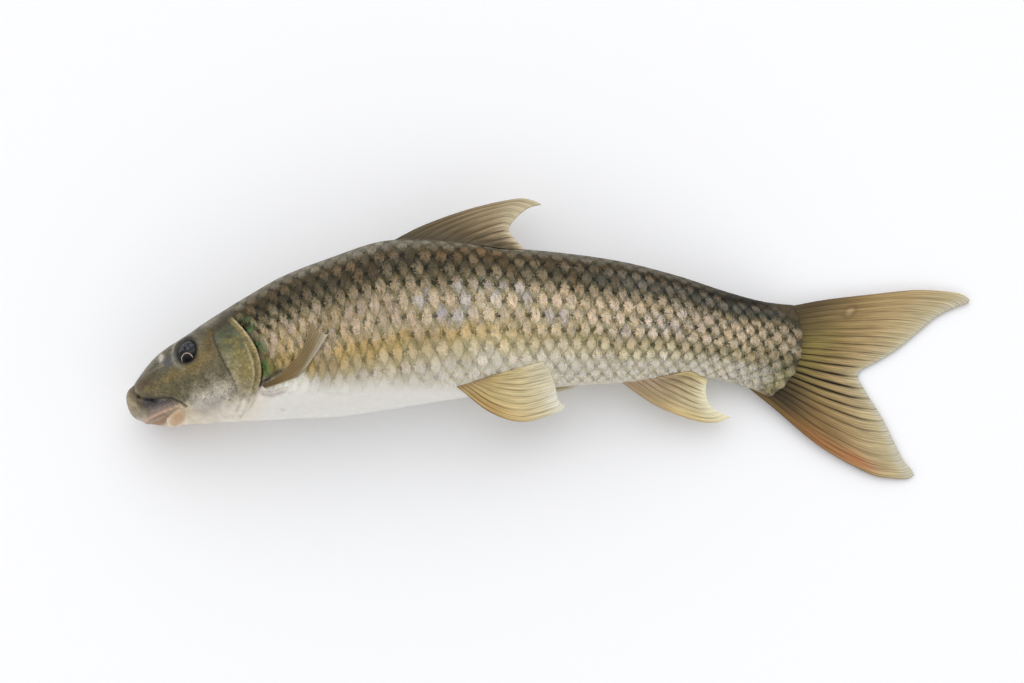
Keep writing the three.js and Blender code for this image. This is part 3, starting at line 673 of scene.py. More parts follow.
def skin_tone(s, t, x, y):
    """The colour of the bare skin everywhere, under the grain that its material adds."""
    angle, past_gill = fold(t), s - GILL_STATION
    pale, dark = flank_tones(s, t, x, y, soft_noise(x, y, 4, 31), soft_noise(x, y, 6, 32))
    near = fall(past_gill, 0.25, 0.7) * band(angle, 30, 44, 104, 116)
    green = near * smooth(soft_noise(x, y, 1.6, 33), 0.5, 0.75) * fall(angle, 84, 100)
    slot = fall(past_gill, 0.02, 0.09) * gill_share(t) * fall(angle, 108, 122)
    flank = paint(
        mix(dark, pale, 0.25 + 0.75 * smooth(angle, 105, 140)),
        (mix(NAPE_GREEN, PECTORAL_OLIVE, smooth(angle, 82, 98)), 0.9 * near),
        (EMERALD, 0.75 * green),
        (THROAT_WHITE, fall(s, GILL_STATION + 0.1, 9.2) * smooth(angle, 110, 130)),
        # Painted shade in the gill slot.
        (SLOT_SHADE, 0.8 * slot),
        # Painted shade where the last scales meet the tail fin.
        (REAR_DARK, 0.7 * smooth(s, 20.4, 20.8) * smooth(angle, 30, 50)),
    )
    tone = paint(
        np.where((s < GILL_STATION)[..., None], head_tone(s, t, x, y), flank),
        (FOLD_SHADE, 0.7 * bell(distance_to_line(x, y, FIN_BASE_SHADE), 0.9)),
        (FOLD_PALE, 0.8 * bell(distance_to_line(x, y, FIN_BASE_FOLD), 0.8)),
    )
    for spot_x, spot_y in SKIN_SPOTS:
        tone = mix(tone, EYELID_DARK, 0.6 * bell(np.hypot(x - spot_x, y - spot_y), 0.55))
    return tone


# ---- making meshes


def new_mesh(name, points, faces, material, copies=1):
    """A smooth-shaded piece from points in millimetres; each copy of the faces takes the next run of points."""
    shifted = (points.reshape(-1, 3) + SHIFT) * MM
    loops = np.concatenate([part.ravel() for part in faces])
    loops = (loops + len(shifted) // copies * np.arange(copies)[:, None]).ravel()
    sizes = np.tile(np.concatenate([np.full(len(part), part.shape[1]) for part in faces]), copies)
    mesh = bpy.data.meshes.new(name)
    mesh.vertices.add(len(shifted))
    mesh.vertices.foreach_set("co", shifted.ravel())
    mesh.loops.add(len(loops))
    mesh.loops.foreach_set("vertex_index", loops.astype(np.int32))
    mesh.polygons.add(len(sizes))
    mesh.polygons.foreach_set("loop_start", (np.cumsum(sizes) - sizes).astype(np.int32))
    mesh.update(calc_edges=True)
    mesh.validate()
    mesh.shade_smooth()
    piece = bpy.data.objects.new(name, mesh)
    bpy.context.scene.collection.objects.link(piece)
    mesh.materials.append(material)
    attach(piece, "root")
    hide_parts("fish")
    return piece


def store(piece, **layers):
    """Keeps a value, a place or a colour for every point of a piece, for its material to read."""
    for name, values in layers.items():
        kind = "FLOAT" if values.ndim == 1 else "FLOAT_VECTOR"
        attribute = piece.data.attributes.new(name, kind, "POINT")
        attribute.data.foreach_set("value" if kind == "FLOAT" else "vector", np.asarray(values, float).ravel())


def grid_faces(rows, columns, closed):
    """Quads of a grid of points stored row after row; a closed grid joins its last row to its first."""
    i = np.arange(rows if closed else rows - 1)[:, None]
    j = np.arange(columns - 1)[None, :]
    a, b = i * columns + j, ((i + 1) % rows) * columns + j
    return np.stack([a, b, b + 1, a + 1], axis=-1).reshape(-1, 4)


def fan(ring, centre):
    """Triangles from the edges of a closed ring of point numbers to one centre point."""
    return np.stack([ring, np.roll(ring, -1), np.full(len(ring), centre)], axis=1)


def head_stations():
    """Station numbers about HEAD_STEP apart on the flank, and closer at the edge of the gill cover."""
    fine = np.arange(0.05, GILL_STATION, 0.002)
    middle = smooth_skin(fine, np.full(fine.shape, np.pi / 2))
    travelled = np.concatenate([[0], np.cumsum(np.linalg.norm(np.diff(middle, axis=0), axis=1))])
    even = np.interp(np.arange(0, travelled[-1] - HEAD_STEP, HEAD_STEP), travelled, fine)
    edge = GILL_STATION + np.array([-0.03, -0.012, 0, 0.012, 0.04, 0.08, 0.14, 0.2, 0.27, 0.35])
    return np.concatenate([even[even < edge[0] - 0.01], edge])


def make_body():
    counts = np.arange(0.3, COUNTS[np.searchsorted(COUNT_STATIONS, LAST_STATION)], BODY_STEP / 7)
    rear = np.interp(counts, COUNTS, COUNT_STATIONS)
    front = head_stations()
    s_values = np.concatenate([front, rear[rear > front[-1] + 0.02], [LAST_STATION]])
    t_values = np.concatenate([
        np.linspace(0, np.pi, LEFT_ROWS, endpoint=False),
        np.linspace(np.pi, 2 * np.pi, RIGHT_ROWS, endpoint=False),
    ])
    t, s = np.meshgrid(t_values, s_values, indexing="ij")
    rows, columns = t.shape
    tip = smooth_skin(np.array(0), np.array(0))
    heel = smooth_skin(np.array(LAST_STATION), np.array(np.pi / 2))
    heel[2] = BODY_STATIONS[-1][5]
    points = np.concatenate([skin(s, t, body_relief(s, t)).reshape(-1, 3), [tip, heel]])
    first = columns * np.arange(rows)
    faces = [
        grid_faces(rows, columns, closed=True),
        fan(first, rows * columns)[:, [0, 2, 1]],
        fan(first + columns - 1, rows * columns + 1),
    ]
    body = new_mesh("fish_body", points, faces, skin_material())
    s, t = np.concatenate([s.ravel(), [0, LAST_STATION]]), np.concatenate([t.ravel(), [0.5, 0.5]])
    bare = smooth(fold(t), 112, 134)
    store(
        body,
        tone=skin_tone(s, t, points[:, 0], points[:, 1]),
        speckle=(s < GILL_STATION) * (1 - bare),
        grain=1 - 0.85 * bare,
    )


def scale_places():
    """Row and count of every scale that shows."""
    rows, columns = np.meshgrid(np.arange(SCALE_ROWS), np.arange(-1, SCALE_COLUMNS), indexing="ij")
    chosen = (rows + columns) % 2 == 0
    row, count = rows[chosen].astype(float), 0.5 * (columns[chosen] + 1)
    middle = np.maximum(np.interp(count, COUNTS, COUNT_STATIONS), GILL_STATION + 0.01)
    share = scaled_share(middle, np.radians(12) * row)
    last_count = np.interp(LAST_STATION, COUNT_STATIONS, COUNTS)
    overhang = PLATE_OVERHANG + PLATE_OVERHANG_WANDER * np.sin(2.4 * row)
    keep = (share > PLATE_LEAST_SHARE) & (count < last_count - PLATE_REAR + overhang)
    return row[keep], count[keep]


def plate_faces(along, across):
    """The faces of one closed scale: its top, the skirt of its rear edge, and its underside."""
    rim, under = (along - 1) * across + np.arange(across), along * across + np.arange(across)
    skirt = np.stack([rim[1:], under[1:], under[:-1], rim[:-1]], axis=1)
    side = np.arange(along) * across
    border = np.concatenate([under, side[::-1] + across - 1, np.arange(across - 2, 0, -1), side])
    return [grid_faces(along, across, closed=False)[:, ::-1], skirt, fan(border, (along + 1) * across)]


def plate_rise(s, t, back, down, random):
    """How high each point of the scales stands off the smooth skin."""
    angle = fold(t)
    size = np.maximum(scaled_share(s, t) * outline_share(t), 0.02)
    size = size * (FRONT_RELIEF + (1 - FRONT_RELIEF) * smooth(s, 11.5, 16)) * (1 - 0.6 * smooth(s, 19.6, 20.8))
    size = size * (1 - 0.6 * smooth(angle, 122, 146) * fall(s, 12.6, 14.4))
    size = size * (1 - 0.6 * smooth(s, 19, 20.2) * fall(angle, 34, 50))
    rise = size * (PLATE_LOW + PLATE_SLOPE * (back - PLATE_FRONT) - PLATE_CROWN * down**2)
    rise = rise + 0.1 * size * (random[:, 0, None, None] - 0.5)
    rise = rise - TUCK_DEPTH * fall(s, GILL_STATION, GILL_STATION + 0.04)
    sunk_from = 124 + 12 * smooth(s, 10.5, 12.5)
    return rise - BELLY_SINK * smooth(angle, sunk_from, sunk_from + 18) * fall(s, 12.6, 14.4)


def make_scales():
    """Every scale as its own closed plate, lapped over those behind it."""
    row, count = scale_places()
    number, middle = len(row), PLATE_STEPS_ACROSS // 2
    random = np.random.default_rng(7).random((number, 3))
    down = np.linspace(-0.96, 0.96, PLATE_STEPS_ACROSS + 1)
    reach = PLATE_REAR * np.sqrt(1 - down**2)
    back = PLATE_FRONT + (reach[None, :] - PLATE_FRONT) * PLATE_STEPS_ALONG[:, None]
    down = np.broadcast_to(down, back.shape)
    s = np.interp(count[:, None, None] + back, COUNTS, COUNT_STATIONS)
    t = (2 * np.pi / SCALE_ROWS) * (row[:, None, None] + down)
    rise = plate_rise(s, t, back, down, random)
    lower = skin(s[:, -1], t[:, -1], rise[:, -1] - PLATE_THICKNESS)
    heart = skin(s[:, 2:3, middle], t[:, 2:3, middle], np.full((number, 1), -PLATE_THICKNESS))
    points = np.concatenate([skin(s, t, rise).reshape(number, -1, 3), lower, heart], axis=1)
    scales = new_mesh("fish_scales", points, plate_faces(*back.shape), scale_material(), copies=number)

    def spread(values):
        values = np.broadcast_to(values, (number,) + back.shape)
        return np.concatenate([values.reshape(number, -1), values[:, -1], values[:, 2, :1]], axis=1).ravel()

    s, t, angle = spread(s), spread(t), fold(spread(t))
    light, hue, jitter = (spread(random[:, k, None, None]) for k in range(3))
    x, y = points.reshape(-1, 3)[:, 0], points.reshape(-1, 3)[:, 1]
    pale, dark = flank_tones(s, t, x, y, hue, jitter)
    on_flank, front = smooth(angle, 56, 72), fall(s, 13, 17)
    brightness = 1 + 0.32 * (light - 0.5) * fall(angle, 118, 140) * (1 - 0.4 * smooth(s, 14, 16))
    lost = 0.6 * fall(jitter, 0.1, 0.8) * band(angle, 22, 32, 46, 56)
    beside = -0.5 + PLATE_REAR * np.sqrt(1 - (1 - np.abs(down)) ** 2)
    ahead = -1 + PLATE_REAR * np.sqrt(1 - down**2)
    place = [spread(back), spread(down) * np.where(np.sin(t) < 0, -1, 1), spread(back - np.maximum(beside, ahead))]
    on_line = np.isin(row, [LATERAL_ROW, SCALE_ROWS - LATERAL_ROW])[:, None, None]
    low = band(angle, 90, 110, 132, 160) * (1 - 0.6 * smooth(s, 17, 19))
    crisp = 1 - 0.15 * on_flank * front - 0.1 * smooth(angle, 92, 106) * fall(s, 17.5, 19)
    crisp = crisp * (1 - 0.4 * fall(angle, 20, 34)) * (1 - 0.75 * smooth(s, 19.2, 20.3) * fall(angle, 34, 50))
    belly_from = 106 + 18 * smooth(s, 10.2, 14) + 22 * smooth(s, 12, 14.6) + 28 * smooth(s, 17.5, 20)
    store(
        scales,
        pale=mix(pale * brightness[:, None], dark, lost),
        dark=dark,
        between=mix(dark, pale, 0.24 + 0.1 * on_flank + 0.24 * on_flank * front) * BETWEEN_TINT,
        spot=1 - on_flank * (0.15 + 0.25 * front) * (0.4 + 1.2 * jitter),
        place=np.stack(place, axis=1),
        pore=spread(on_line) * (0.15 + 0.75 * hue) * band(s, 10.5, 12.5, 20, 20.6),
        rear=spread(PLATE_REAR * np.sqrt(1 - down**2) - back),
        outlined=low * (0.25 + 0.45 * hue),
        mark=crisp * (1 - 0.95 * smooth(angle, belly_from, belly_from + 26)),
    )


# ---- fins

# Each fin has four edges of points [x, y, z]: the base, the front ray, the free edge and the last ray.
FINS = {
    "dorsal_fin": {
        "rays": 9, "bend": 1.2, "root": 1.6, "line": (66, 55, 38),
        "tones": [(0, (72, 63, 47)), (0.35, (112, 97, 71)), (0.7, (160, 140, 108)), (1, (206, 192, 160))],
        "base": [(-77, 46, 22), (-57.5, 46.3, 21.7), (-38.5, 44.9, 21.3), (-23, 43.2, 21)],
        "front": [
            (-77, 46, 22), (-60.5, 54.5, 20.8), (-38, 62.5, 19.5), (-17, 67.2, 18.2), (-9, 66.6, 17.5),
            (-4.2, 64.6, 17),
        ],
        "edge": [
            (-4.2, 64.6, 17), (-11.5, 62.3, 17.6), (-18.6, 55.6, 18.8), (-19.3, 50.8, 19.3), (-12.5, 43, 20.5),
        ],
        "last": [(-23, 43.2, 21), (-12.5, 43, 20.5)],
    },
    "tail_fin": {
        "rays": 20, "bend": 3.8, "root": 2.6, "line": (20, 17, 10),
        "tones": [
            (0, (66, 57, 42)), (0.2, (100, 83, 56)), (0.45, (150, 126, 84)), (0.7, (180, 155, 112)),
            (1, (190, 178, 142)),
        ],
        "base": [
            (108.5, 15, 5.6), (114.5, 9, 5.2), (116.5, 1, 5), (114.5, -9, 4.8), (108, -19, 4.8), (94.5, -22.4, 5.8),
        ],
        "front": [
            (108.5, 15, 5.6), (130, 19.2, 4.2), (153, 22, 3.4), (176, 24.2, 2.5), (193.5, 23.2, 1.8),
            (199.8, 21.4, 1.4), (202, 19.4, 1.2),
        ],
        "edge": [
            (202, 19.4, 1.2), (200.8, 17.6, 1.2), (195.5, 15.8, 1.2), (186, 11.2, 1.2), (178, 4.6, 1.2),
            (167, -4.4, 1.2), (157.2, -10.4, 1.2), (149.5, -14.6, 1.2), (148.2, -17.8, 1.2), (152.4, -25.5, 1.2),
            (159.6, -36.8, 1.2), (165.2, -48, 1.2), (170, -57.6, 1.2), (173.6, -61.8, 1.2), (175.2, -64.6, 1.2),
        ],
        "last": [
            (94.5, -22.4, 5.8), (106.5, -32, 4.4), (129.5, -51, 3.2), (153, -64, 2.2), (166, -66.6, 1.6),
            (172.6, -66.5, 1.2), (175.2, -64.6, 1.2),
        ],
    },
    "anal_fin": {
        "rays": 8, "bend": 1.4, "root": 1.8, "line": (112, 90, 62),
        # Its base tone is made lighter as painted light, against the shade where the fin stands off the belly.
        "tones": [(0, (188, 164, 136)), (0.4, (182, 162, 126)), (0.75, (212, 197, 156)), (1, (238, 232, 200))],
        "base": [(32, -19, 17), (45, -17.5, 16), (58.5, -16, 15)],
        "front": [(32, -19, 17), (49, -30.5, 14), (66, -37.5, 11), (78, -39.5, 9), (86.5, -37, 7)],
        "edge": [(86.5, -37, 7), (77, -32, 9.8), (74, -25, 12), (74.5, -18.5, 14)],
        "last": [(58.5, -16, 15), (66, -15, 14.6), (74.5, -18.5, 14)],
    },
    "left_pelvic_fin": {
        "rays": 9, "bend": 1.2, "root": 1.8, "line": (106, 78, 34),
        "tones": [(0, (160, 132, 96)), (0.2, (196, 172, 116)), (0.6, (216, 199, 152)), (1, (228, 219, 192))],
        "base": [(-46.5, -19.8, 31.5), (-37.5, -18.6, 33), (-29, -17, 35)],
        "front": [(-46.5, -19.8, 31.5), (-29.5, -33.5, 27), (-13.5, -38.5, 23), (3.5, -34, 19), (7, -31, 17)],
        "edge": [(7, -31, 17), (3.5, -28, 21), (1.5, -20, 28), (-1.2, -13.5, 33.5), (-4.5, -10, 36)],
        "last": [(-29, -17, 35), (-15.5, -13, 36), (-4.5, -10, 36)],
    },
    "right_pelvic_fin": {
        "rays": 8, "bend": 1.2, "root": 1.6, "line": (120, 92, 60),
        "tones": [(0, (170, 146, 114)), (0.5, (202, 188, 158)), (1, (216, 204, 172))],
        "base": [(-45, -22, 9), (-29, -19, 7)],
        "front": [(-45, -22, 9), (-24.5, -24.5, 6), (-5, -25, 3), (8, -24, 1.2), (13.5, -22, 1.2)],
        "edge": [(13.5, -22, 1.2), (10, -17.5, 1.2), (4.5, -14, 1.2)],
        "last": [(-29, -19, 7), (-12, -15.5, 3), (4.5, -14, 1.2)],
    },
    "left_pectoral_fin": {
        "rays": 7, "bend": 1, "root": 1.8, "line": (58, 42, 26),
        "tones": [(0, (96, 76, 52)), (0.3, (132, 109, 70)), (0.7, (134, 115, 80)), (1, (142, 125, 92))],
        "base": [(-136, -21.4, 38), (-135.2, -23, 36)],
        "front": [(-136, -21.4, 38), (-127.1, -16.6, 40.5), (-121.5, -11, 42), (-115.9, -4.5, 43), (-111, 9.4, 44)],
        "edge": [(-111, 9.4, 44), (-108.6, 4.2, 44), (-103.6, 2.5, 44)],
        "last": [
            (-135.2, -23, 36), (-125.2, -19.6, 38.5), (-116.8, -15.7, 41), (-109.3, -6.4, 43), (-103.6, 2.5, 44),
        ],
    },
    "right_pectoral_fin": {
        "rays": 7, "bend": 1, "root": 1.6, "line": (84, 66, 42),
        "tones": [(0, (96, 76, 52)), (0.3, (126, 105, 72)), (0.7, (138, 119, 86)), (1, (148, 130, 98))],
        "base": [(-139, -20.5, 8), (-137, -25.5, 9)],
        "front": [(-139, -20.5, 8), (-127.5, -20.5, 2.5), (-105, -22, 1.2)],
        "edge": [(-105, -22, 1.2), (-103.5, -26, 1.2), (-104.5, -29.5, 1.2)],
        "last": [(-137, -25.5, 9), (-127.5, -29, 6), (-115.5, -31, 3), (-104.5, -29.5, 1.2)],
    },
}
FIN_COLUMNS_A_RAY = 8
FIN_STEPS = 64
RAY_THICKNESS = 0.85
MEMBRANE_THICKNESS = 0.45
MARGIN_THICKNESS_SHARE = 0.4
FIN_FLANK_CLEARANCE = 1
PECTORAL_CLEARANCE = 0.75
TABLE_FIN_HEIGHT = 10
FIN_LEAST_HEIGHT = 0.1


def curve(points, share):
    """Places along a smooth curve through points, at shares of its length."""
    p = np.array(points, float)
    p = np.concatenate([[2 * p[0] - p[1]], p, [2 * p[-1] - p[-2]]])
    f = np.linspace(0, 1, 40, endpoint=False)[:, None]
    pieces = []
    for a, b, c, d in zip(p, p[1:], p[2:], p[3:]):
        pieces.append(0.5 * (2 * b + f * (c - a + f * (2 * a - 5 * b + 4 * c - d + f * (3 * b - a - 3 * c + d)))))
    fine = np.concatenate(pieces + [p[-2:-1]])
    travelled = np.concatenate([[0], np.cumsum(np.linalg.norm(np.diff(fine, axis=0), axis=1))])
    at = np.asarray(share) * travelled[-1]
    return np.stack([np.interp(at, travelled, fine[:, k]) for k in range(3)], axis=-1)


def fin_sheet(fin):
    """Middle points of a fin between its four edges: u from the front ray to the last, v from base to edge."""
    u = np.linspace(0, 1, FIN_COLUMNS_A_RAY * fin["rays"] + 1)[:, None]
    v = np.linspace(0, 1, FIN_STEPS + 1)[None, :]
    base, edge = curve(fin["base"], u[:, 0])[:, None, :], curve(fin["edge"], u[:, 0])[:, None, :]
    front, last = curve(fin["front"], v[0])[None, :, :], curve(fin["last"], v[0])[None, :, :]
    u3, v3 = u[..., None], v[..., None]
    straight = base * (1 - v3) + edge * v3
    sheet = straight + (front - straight[:1]) * (1 - u3) ** fin["bend"] + (last - straight[-1:]) * u3 ** fin["bend"]
    return sheet, np.broadcast_to(u, sheet.shape[:2]), np.broadcast_to(v, sheet.shape[:2])


def make_fin(name, fin):
    sheet, u, v = fin_sheet(fin)
    phase = u * fin["rays"]
    ridge = 0.5 + 0.5 * np.cos(2 * np.pi * (phase - 0.5))
    thickness = MEMBRANE_THICKNESS + (RAY_THICKNESS - MEMBRANE_THICKNESS) * ridge
    thickness = thickness * (1 - (1 - MARGIN_THICKNESS_SHARE) * v)
    thickness = fin["root"] + (thickness - fin["root"]) * smooth(v, 0, 0.25)
    plain = sheet[..., 2]
    _, _, flank = flank_place(sheet[..., 0], sheet[..., 1])
    held = ~np.isnan(flank) & (plain > TABLE_FIN_HEIGHT)
    clearance = PECTORAL_CLEARANCE if "pectoral" in name else FIN_FLANK_CLEARANCE
    lifted = np.maximum(plain, np.where(held, flank, 0) + clearance)
    height = plain + (np.where(held, lifted, plain) - plain) * smooth(v, 0, 0.07)
    top, bottom = sheet.copy(), sheet.copy()
    top[..., 2] = height + thickness / 2
    bottom[..., 2] = np.maximum(height - thickness / 2, FIN_LEAST_HEIGHT)

    rows, columns = u.shape
    count = rows * columns
    upper = grid_faces(rows, columns, closed=False)
    i, j = np.arange(rows - 1), np.arange(columns - 1)
    edges = [
        (i * columns, (i + 1) * columns),
        ((i + 1) * columns + columns - 1, i * columns + columns - 1),
        (j + 1, j),
        ((rows - 1) * columns + j, (rows - 1) * columns + j + 1),
    ]
    walls = [np.stack([b, a, a + count, b + count], axis=1) for a, b in edges]
    faces = np.concatenate([upper, upper[:, ::-1] + count] + walls)
    if np.cross(sheet[-1, 0] - sheet[0, 0], sheet[0, -1] - sheet[0, 0])[2] < 0:
        faces = faces[:, ::-1]
    points = np.concatenate([top.reshape(-1, 3), bottom.reshape(-1, 3)])
    piece = new_mesh(name, points, [faces], fin_material(name))
    place = np.tile(np.stack([phase.ravel(), v.ravel(), u.ravel()], axis=1), (2, 1))
    pale, dark, mark = fin_tones(name, fin, place[:, 2], place[:, 1])
    store(piece, place=place, pale=pale, dark=dark, mark=mark)


TAIL_RED = linear(180, 108, 66)
TAIL_GREY = linear(198, 194, 180)
TAIL_LOWER = linear(126, 97, 60)
TAIL_TOP = linear(84, 70, 50)
TAIL_RIM = linear(130, 104, 60)
TAIL_OLIVE = linear(150, 134, 76)
TAIL_SPOT = (0.13, 0.405, 55, 73)
TAIL_SPOT_PALE = linear(196, 172, 134)
TAIL_SPOT_DARK = linear(112, 90, 64)
FIN_GOLD = linear(226, 199, 138)
FIN_STREAK = linear(182, 142, 80)
FIN_STRAW = linear(212, 194, 128)
FIN_EDGE_ORANGE = linear(192, 146, 84)
FIN_EDGE_BROWN = linear(112, 82, 44)
FIN_BASE_BROWN = linear(134, 106, 66)
FIN_TIP_PALE = linear(238, 234, 218)
FIN_GREY = linear(190, 180, 146)
DORSAL_DARK = linear(72, 62, 46)
PECTORAL_MARGIN = linear(182, 172, 150)
PECTORAL_PALE = linear(176, 154, 118)


def fin_tones(name, fin, u, v):
    """The colour of the rays, of the lines between them, and how strongly those lines show."""
    pale = tones_at(fin["tones"], v)
    dark = mix(linear(*fin["line"]), pale, 0.6 * smooth(v, 0.8, 1))
    if name == "tail_fin":
        from_spot = np.hypot((u - TAIL_SPOT[0]) * TAIL_SPOT[2], (v - TAIL_SPOT[1]) * TAIL_SPOT[3])
        coats = [
            (TAIL_OLIVE, 0.75 * bell(u - 0.46, 0.22) * bell(v - 0.22, 0.26)),
            (TAIL_LOWER, 0.75 * smooth(u, 0.66, 0.92) * bell(v - 0.42, 0.28)),
            (linear(*fin["tones"][0][1]), 0.85 * smooth(u, 0.66, 0.84) * fall(v, 0.16, 0.46)),
            (TAIL_RIM, 0.6 * smooth(u, 0.9, 0.98) * fall(v, 0.3, 0.5)),
            (TAIL_TOP, 0.8 * fall(u, 0.02, 0.1) * fall(v, 0.15, 0.5)),
            (TAIL_RED, 0.65 * bell(u - 0.96, 0.035) * bell(v - 0.7, 0.12)),
            (TAIL_RED, 0.35 * bell(u - 0.97, 0.05) * bell(v - 0.48, 0.18)),
            (TAIL_GREY, (0.55 + 0.25 * smooth(u, 0.3, 0.5)) * smooth(v, 0.91, 1)),
            (TAIL_SPOT_DARK, 0.55 * bell(from_spot - 2.5, 1)),
            (TAIL_SPOT_PALE, 0.6 * bell(from_spot, 1.5)),
        ]
        middle = bell(u - 0.6, 0.24)
        mark = (0.34 + 0.74 * middle) * (1 - 0.75 * smooth(v, 0.62, 1) * (1 - middle))
        mark = mark * (1 - 0.25 * middle * smooth(v, 0.6, 1))
    elif name == "dorsal_fin":
        coats = [
            (DORSAL_DARK, 0.5 * smooth(u, 0.55, 0.95) * fall(v, 0.55, 0.9)),
            (DORSAL_DARK, 0.7 * fall(u, 0, 0.04) * fall(v, 0.6, 0.9)),
        ]
        mark = 0.75 * (0.5 + 0.5 * smooth(u, 0.3, 0.6))
    elif name == "anal_fin":
        coats = [
            (FIN_GOLD, 0.55 * fall(u, 0.1, 0.4) * bell(v - 0.6, 0.25)),
            (FIN_EDGE_ORANGE, 0.5 * fall(u, 0, 0.08) * bell(v - 0.6, 0.25)),
            (FIN_BASE_BROWN, 0.3 * fall(u, 0.15, 0.45) * bell(v - 0.22, 0.2)),
            (FIN_STRAW, 0.6 * smooth(u, 0.86, 0.96)),
        ]
        mark = (0.48 + 0.28 * smooth(u, 0.2, 0.45)) * (1 - 0.6 * smooth(v, 0.7, 1)) * smooth(1 - u, 0, 0.07)
    elif "pelvic" in name:
        front = fall(u, 0.15, 0.55)
        coats = [
            (FIN_GOLD, 0.55 * front * bell(v - 0.45, 0.3)),
            (FIN_EDGE_ORANGE, 0.7 * fall(u, 0, 0.1) * bell(v - 0.4, 0.3)),
            (FIN_EDGE_BROWN, 0.8 * fall(u, 0, 0.06) * bell(v - 0.3, 0.18)),
            (FIN_STREAK, 0.7 * bell(u - 0.14, 0.09) * bell(v - 0.34, 0.22)),
            (FIN_BASE_BROWN, 0.6 * fall(v, 0, 0.1)),
            (FIN_TIP_PALE, 0.8 * smooth(v, 0.8, 1) * fall(u, 0.3, 0.6)),
            (FIN_GREY, 0.35 * smooth(v, 0.6, 0.9) * smooth(u, 0.5, 0.8)),
        ]
        mark = (0.54 + 0.34 * front * fall(v, 0.25, 0.55)) * (1 - 0.5 * smooth(v, 0.55, 1)) * smooth(1 - u, 0, 0.07)
    else:
        coats = [
            (PECTORAL_MARGIN, 0.85 * smooth(u, 0.6, 0.95) * smooth(v, 0.35, 0.7)),
            (PECTORAL_PALE, 0.7 * smooth(u, 0.7, 0.95) * fall(v, 0.2, 0.45)),
        ]
        mark = 0.62 - 0.3 * smooth(u, 0.65, 1)
    return paint(pale, *coats), dark, mark


# ---- eyes and lips


def make_dome(name, lump, side, material, roughness):
    """A closed rounded lump on the skin; side is 1 for the left flank and -1 for its mirror on the right."""
    rings, sides = DOME_RINGS, DOME_SIDES
    s, t, _ = flank_place(np.array(lump["x"]), np.array(lump["y"]))
    normal = skin_normal(s, t)
    centre = smooth_skin(s, t) - normal * lump["sunk"]
    across = np.array([0, 1, 0]) - normal * normal[1]
    across /= np.linalg.norm(across)
    along = np.cross(across, normal)
    lat = np.linspace(-np.pi / 2, np.pi / 2, rings + 2)[1:-1, None]
    lon = np.linspace(0, 2 * np.pi, sides, endpoint=False)[None, :]
    round_part = [np.cos(lat) * np.cos(lon), np.cos(lat) * np.sin(lon), np.sin(lat) * np.ones_like(lon)]
    local = np.concatenate([np.stack(round_part, axis=-1).reshape(-1, 3), [[0, 0, -1], [0, 0, 1]]])
    size = np.array([lump["along"], lump["across"], lump["bulge"]])
    swell = 1 + roughness * (soft_noise(4 + 3 * local[:, 0], 4 + 3 * local[:, 1], 1, 17) - 0.5)
    spread = local * swell[:, None] * size
    spread[:, 0] *= 1 + lump["taper"] * local[:, 1]
    spread[:, 0] += lump["lean"] * local[:, 1]
    points = centre + spread[:, :1] * along + spread[:, 1:2] * across + spread[:, 2:] * normal
    mirror = float(section_at(s)["mid_height"])
    points[:, 2] = np.maximum(mirror + side * (points[:, 2] - mirror), 0)
    i, j = np.arange(rings - 1)[:, None], np.arange(sides)[None, :]
    a, b = i * sides + j, i * sides + (j + 1) % sides
    faces = [
        np.stack([a, b, b + sides, a + sides], axis=-1).reshape(-1, 4),
        fan(np.arange(sides), rings * sides)[:, [1, 0, 2]],
        fan((rings - 1) * sides + np.arange(sides), rings * sides + 1),
    ]
    if side < 0:
        faces = [part[:, ::-1] for part in faces]
    store(new_mesh(name, points, faces, material), place=local * size)


# ---- materials

SKIN_SPECULAR = 0.1
SCALE_SPECULAR = 0.05
FLOOR_SPECULAR = 0.2
SMEAR_SLANT = 0.22
SMEAR_STRETCH = 0.45
PATCH_SLANT = 0.22
PATCH_SHRINK = 0.14
PATCH_PLAIN = 0.64
PORE_AT = 0.02
BETWEEN_TINT = np.array([0.96, 1, 0.86])


class Nodes:
    """A node tree, with one short call for each kind of node."""

    def __init__(self, owner):
        owner.use_nodes = True
        self.tree = owner.node_tree

    def add(self, kind, **settings):
        node = self.tree.nodes.new(kind)
        for key, value in settings.items():
            setattr(node, key, value)
        return node

    def put(self, value, socket):
        if isinstance(value, bpy.types.NodeSocket):
            self.tree.links.new(value, socket)
        else:
            socket.default_value = value

    def fill(self, node, *values):
        """Puts values into the first sockets of a node and gives its first output."""
        for value, socket in zip(values, node.inputs):
            self.put(value, socket)
        return node.outputs[0]

    def maths(self, operation, first, second=0):
        return self.fill(self.add("ShaderNodeMath", operation=operation), first, second)

    def times(self, first, second):
        return self.maths("MULTIPLY", first, second)

    def plus(self, first, second):
        return self.maths("ADD", first, second)

    def minus(self, first, second):
        return self.maths("SUBTRACT", first, second)

    def over(self, first, second):
        return self.maths("DIVIDE", first, second)

    def swing(self, value, amount):
        """A value from 0 to 1 as half an amount to either side of 0."""
        return self.times(self.minus(value, 0.5), amount)

    def vector(self, operation, first, second=(0, 0, 0)):
        node = self.add("ShaderNodeVectorMath", operation=operation)
        self.fill(node, first, second)
        return node.outputs["Value" if operation in ("LENGTH", "DOT_PRODUCT") else "Vector"]

    def length(self, x, y):
        return self.vector("LENGTH", self.join(x, y))

    def split(self, vector):
        node = self.add("ShaderNodeSeparateXYZ")
        self.fill(node, vector)
        return node.outputs

    def join(self, x, y, z=0):
        return self.fill(self.add("ShaderNodeCombineXYZ"), x, y, z)

    def ramp(self, value, low, high, out_low=0, out_high=1):
        node = self.add("ShaderNodeMapRange", interpolation_type="SMOOTHSTEP")
        return self.fill(node, value, low, high, out_low, out_high)

    def place(self, output="Object"):
        return self.add("ShaderNodeTexCoord").outputs[output]


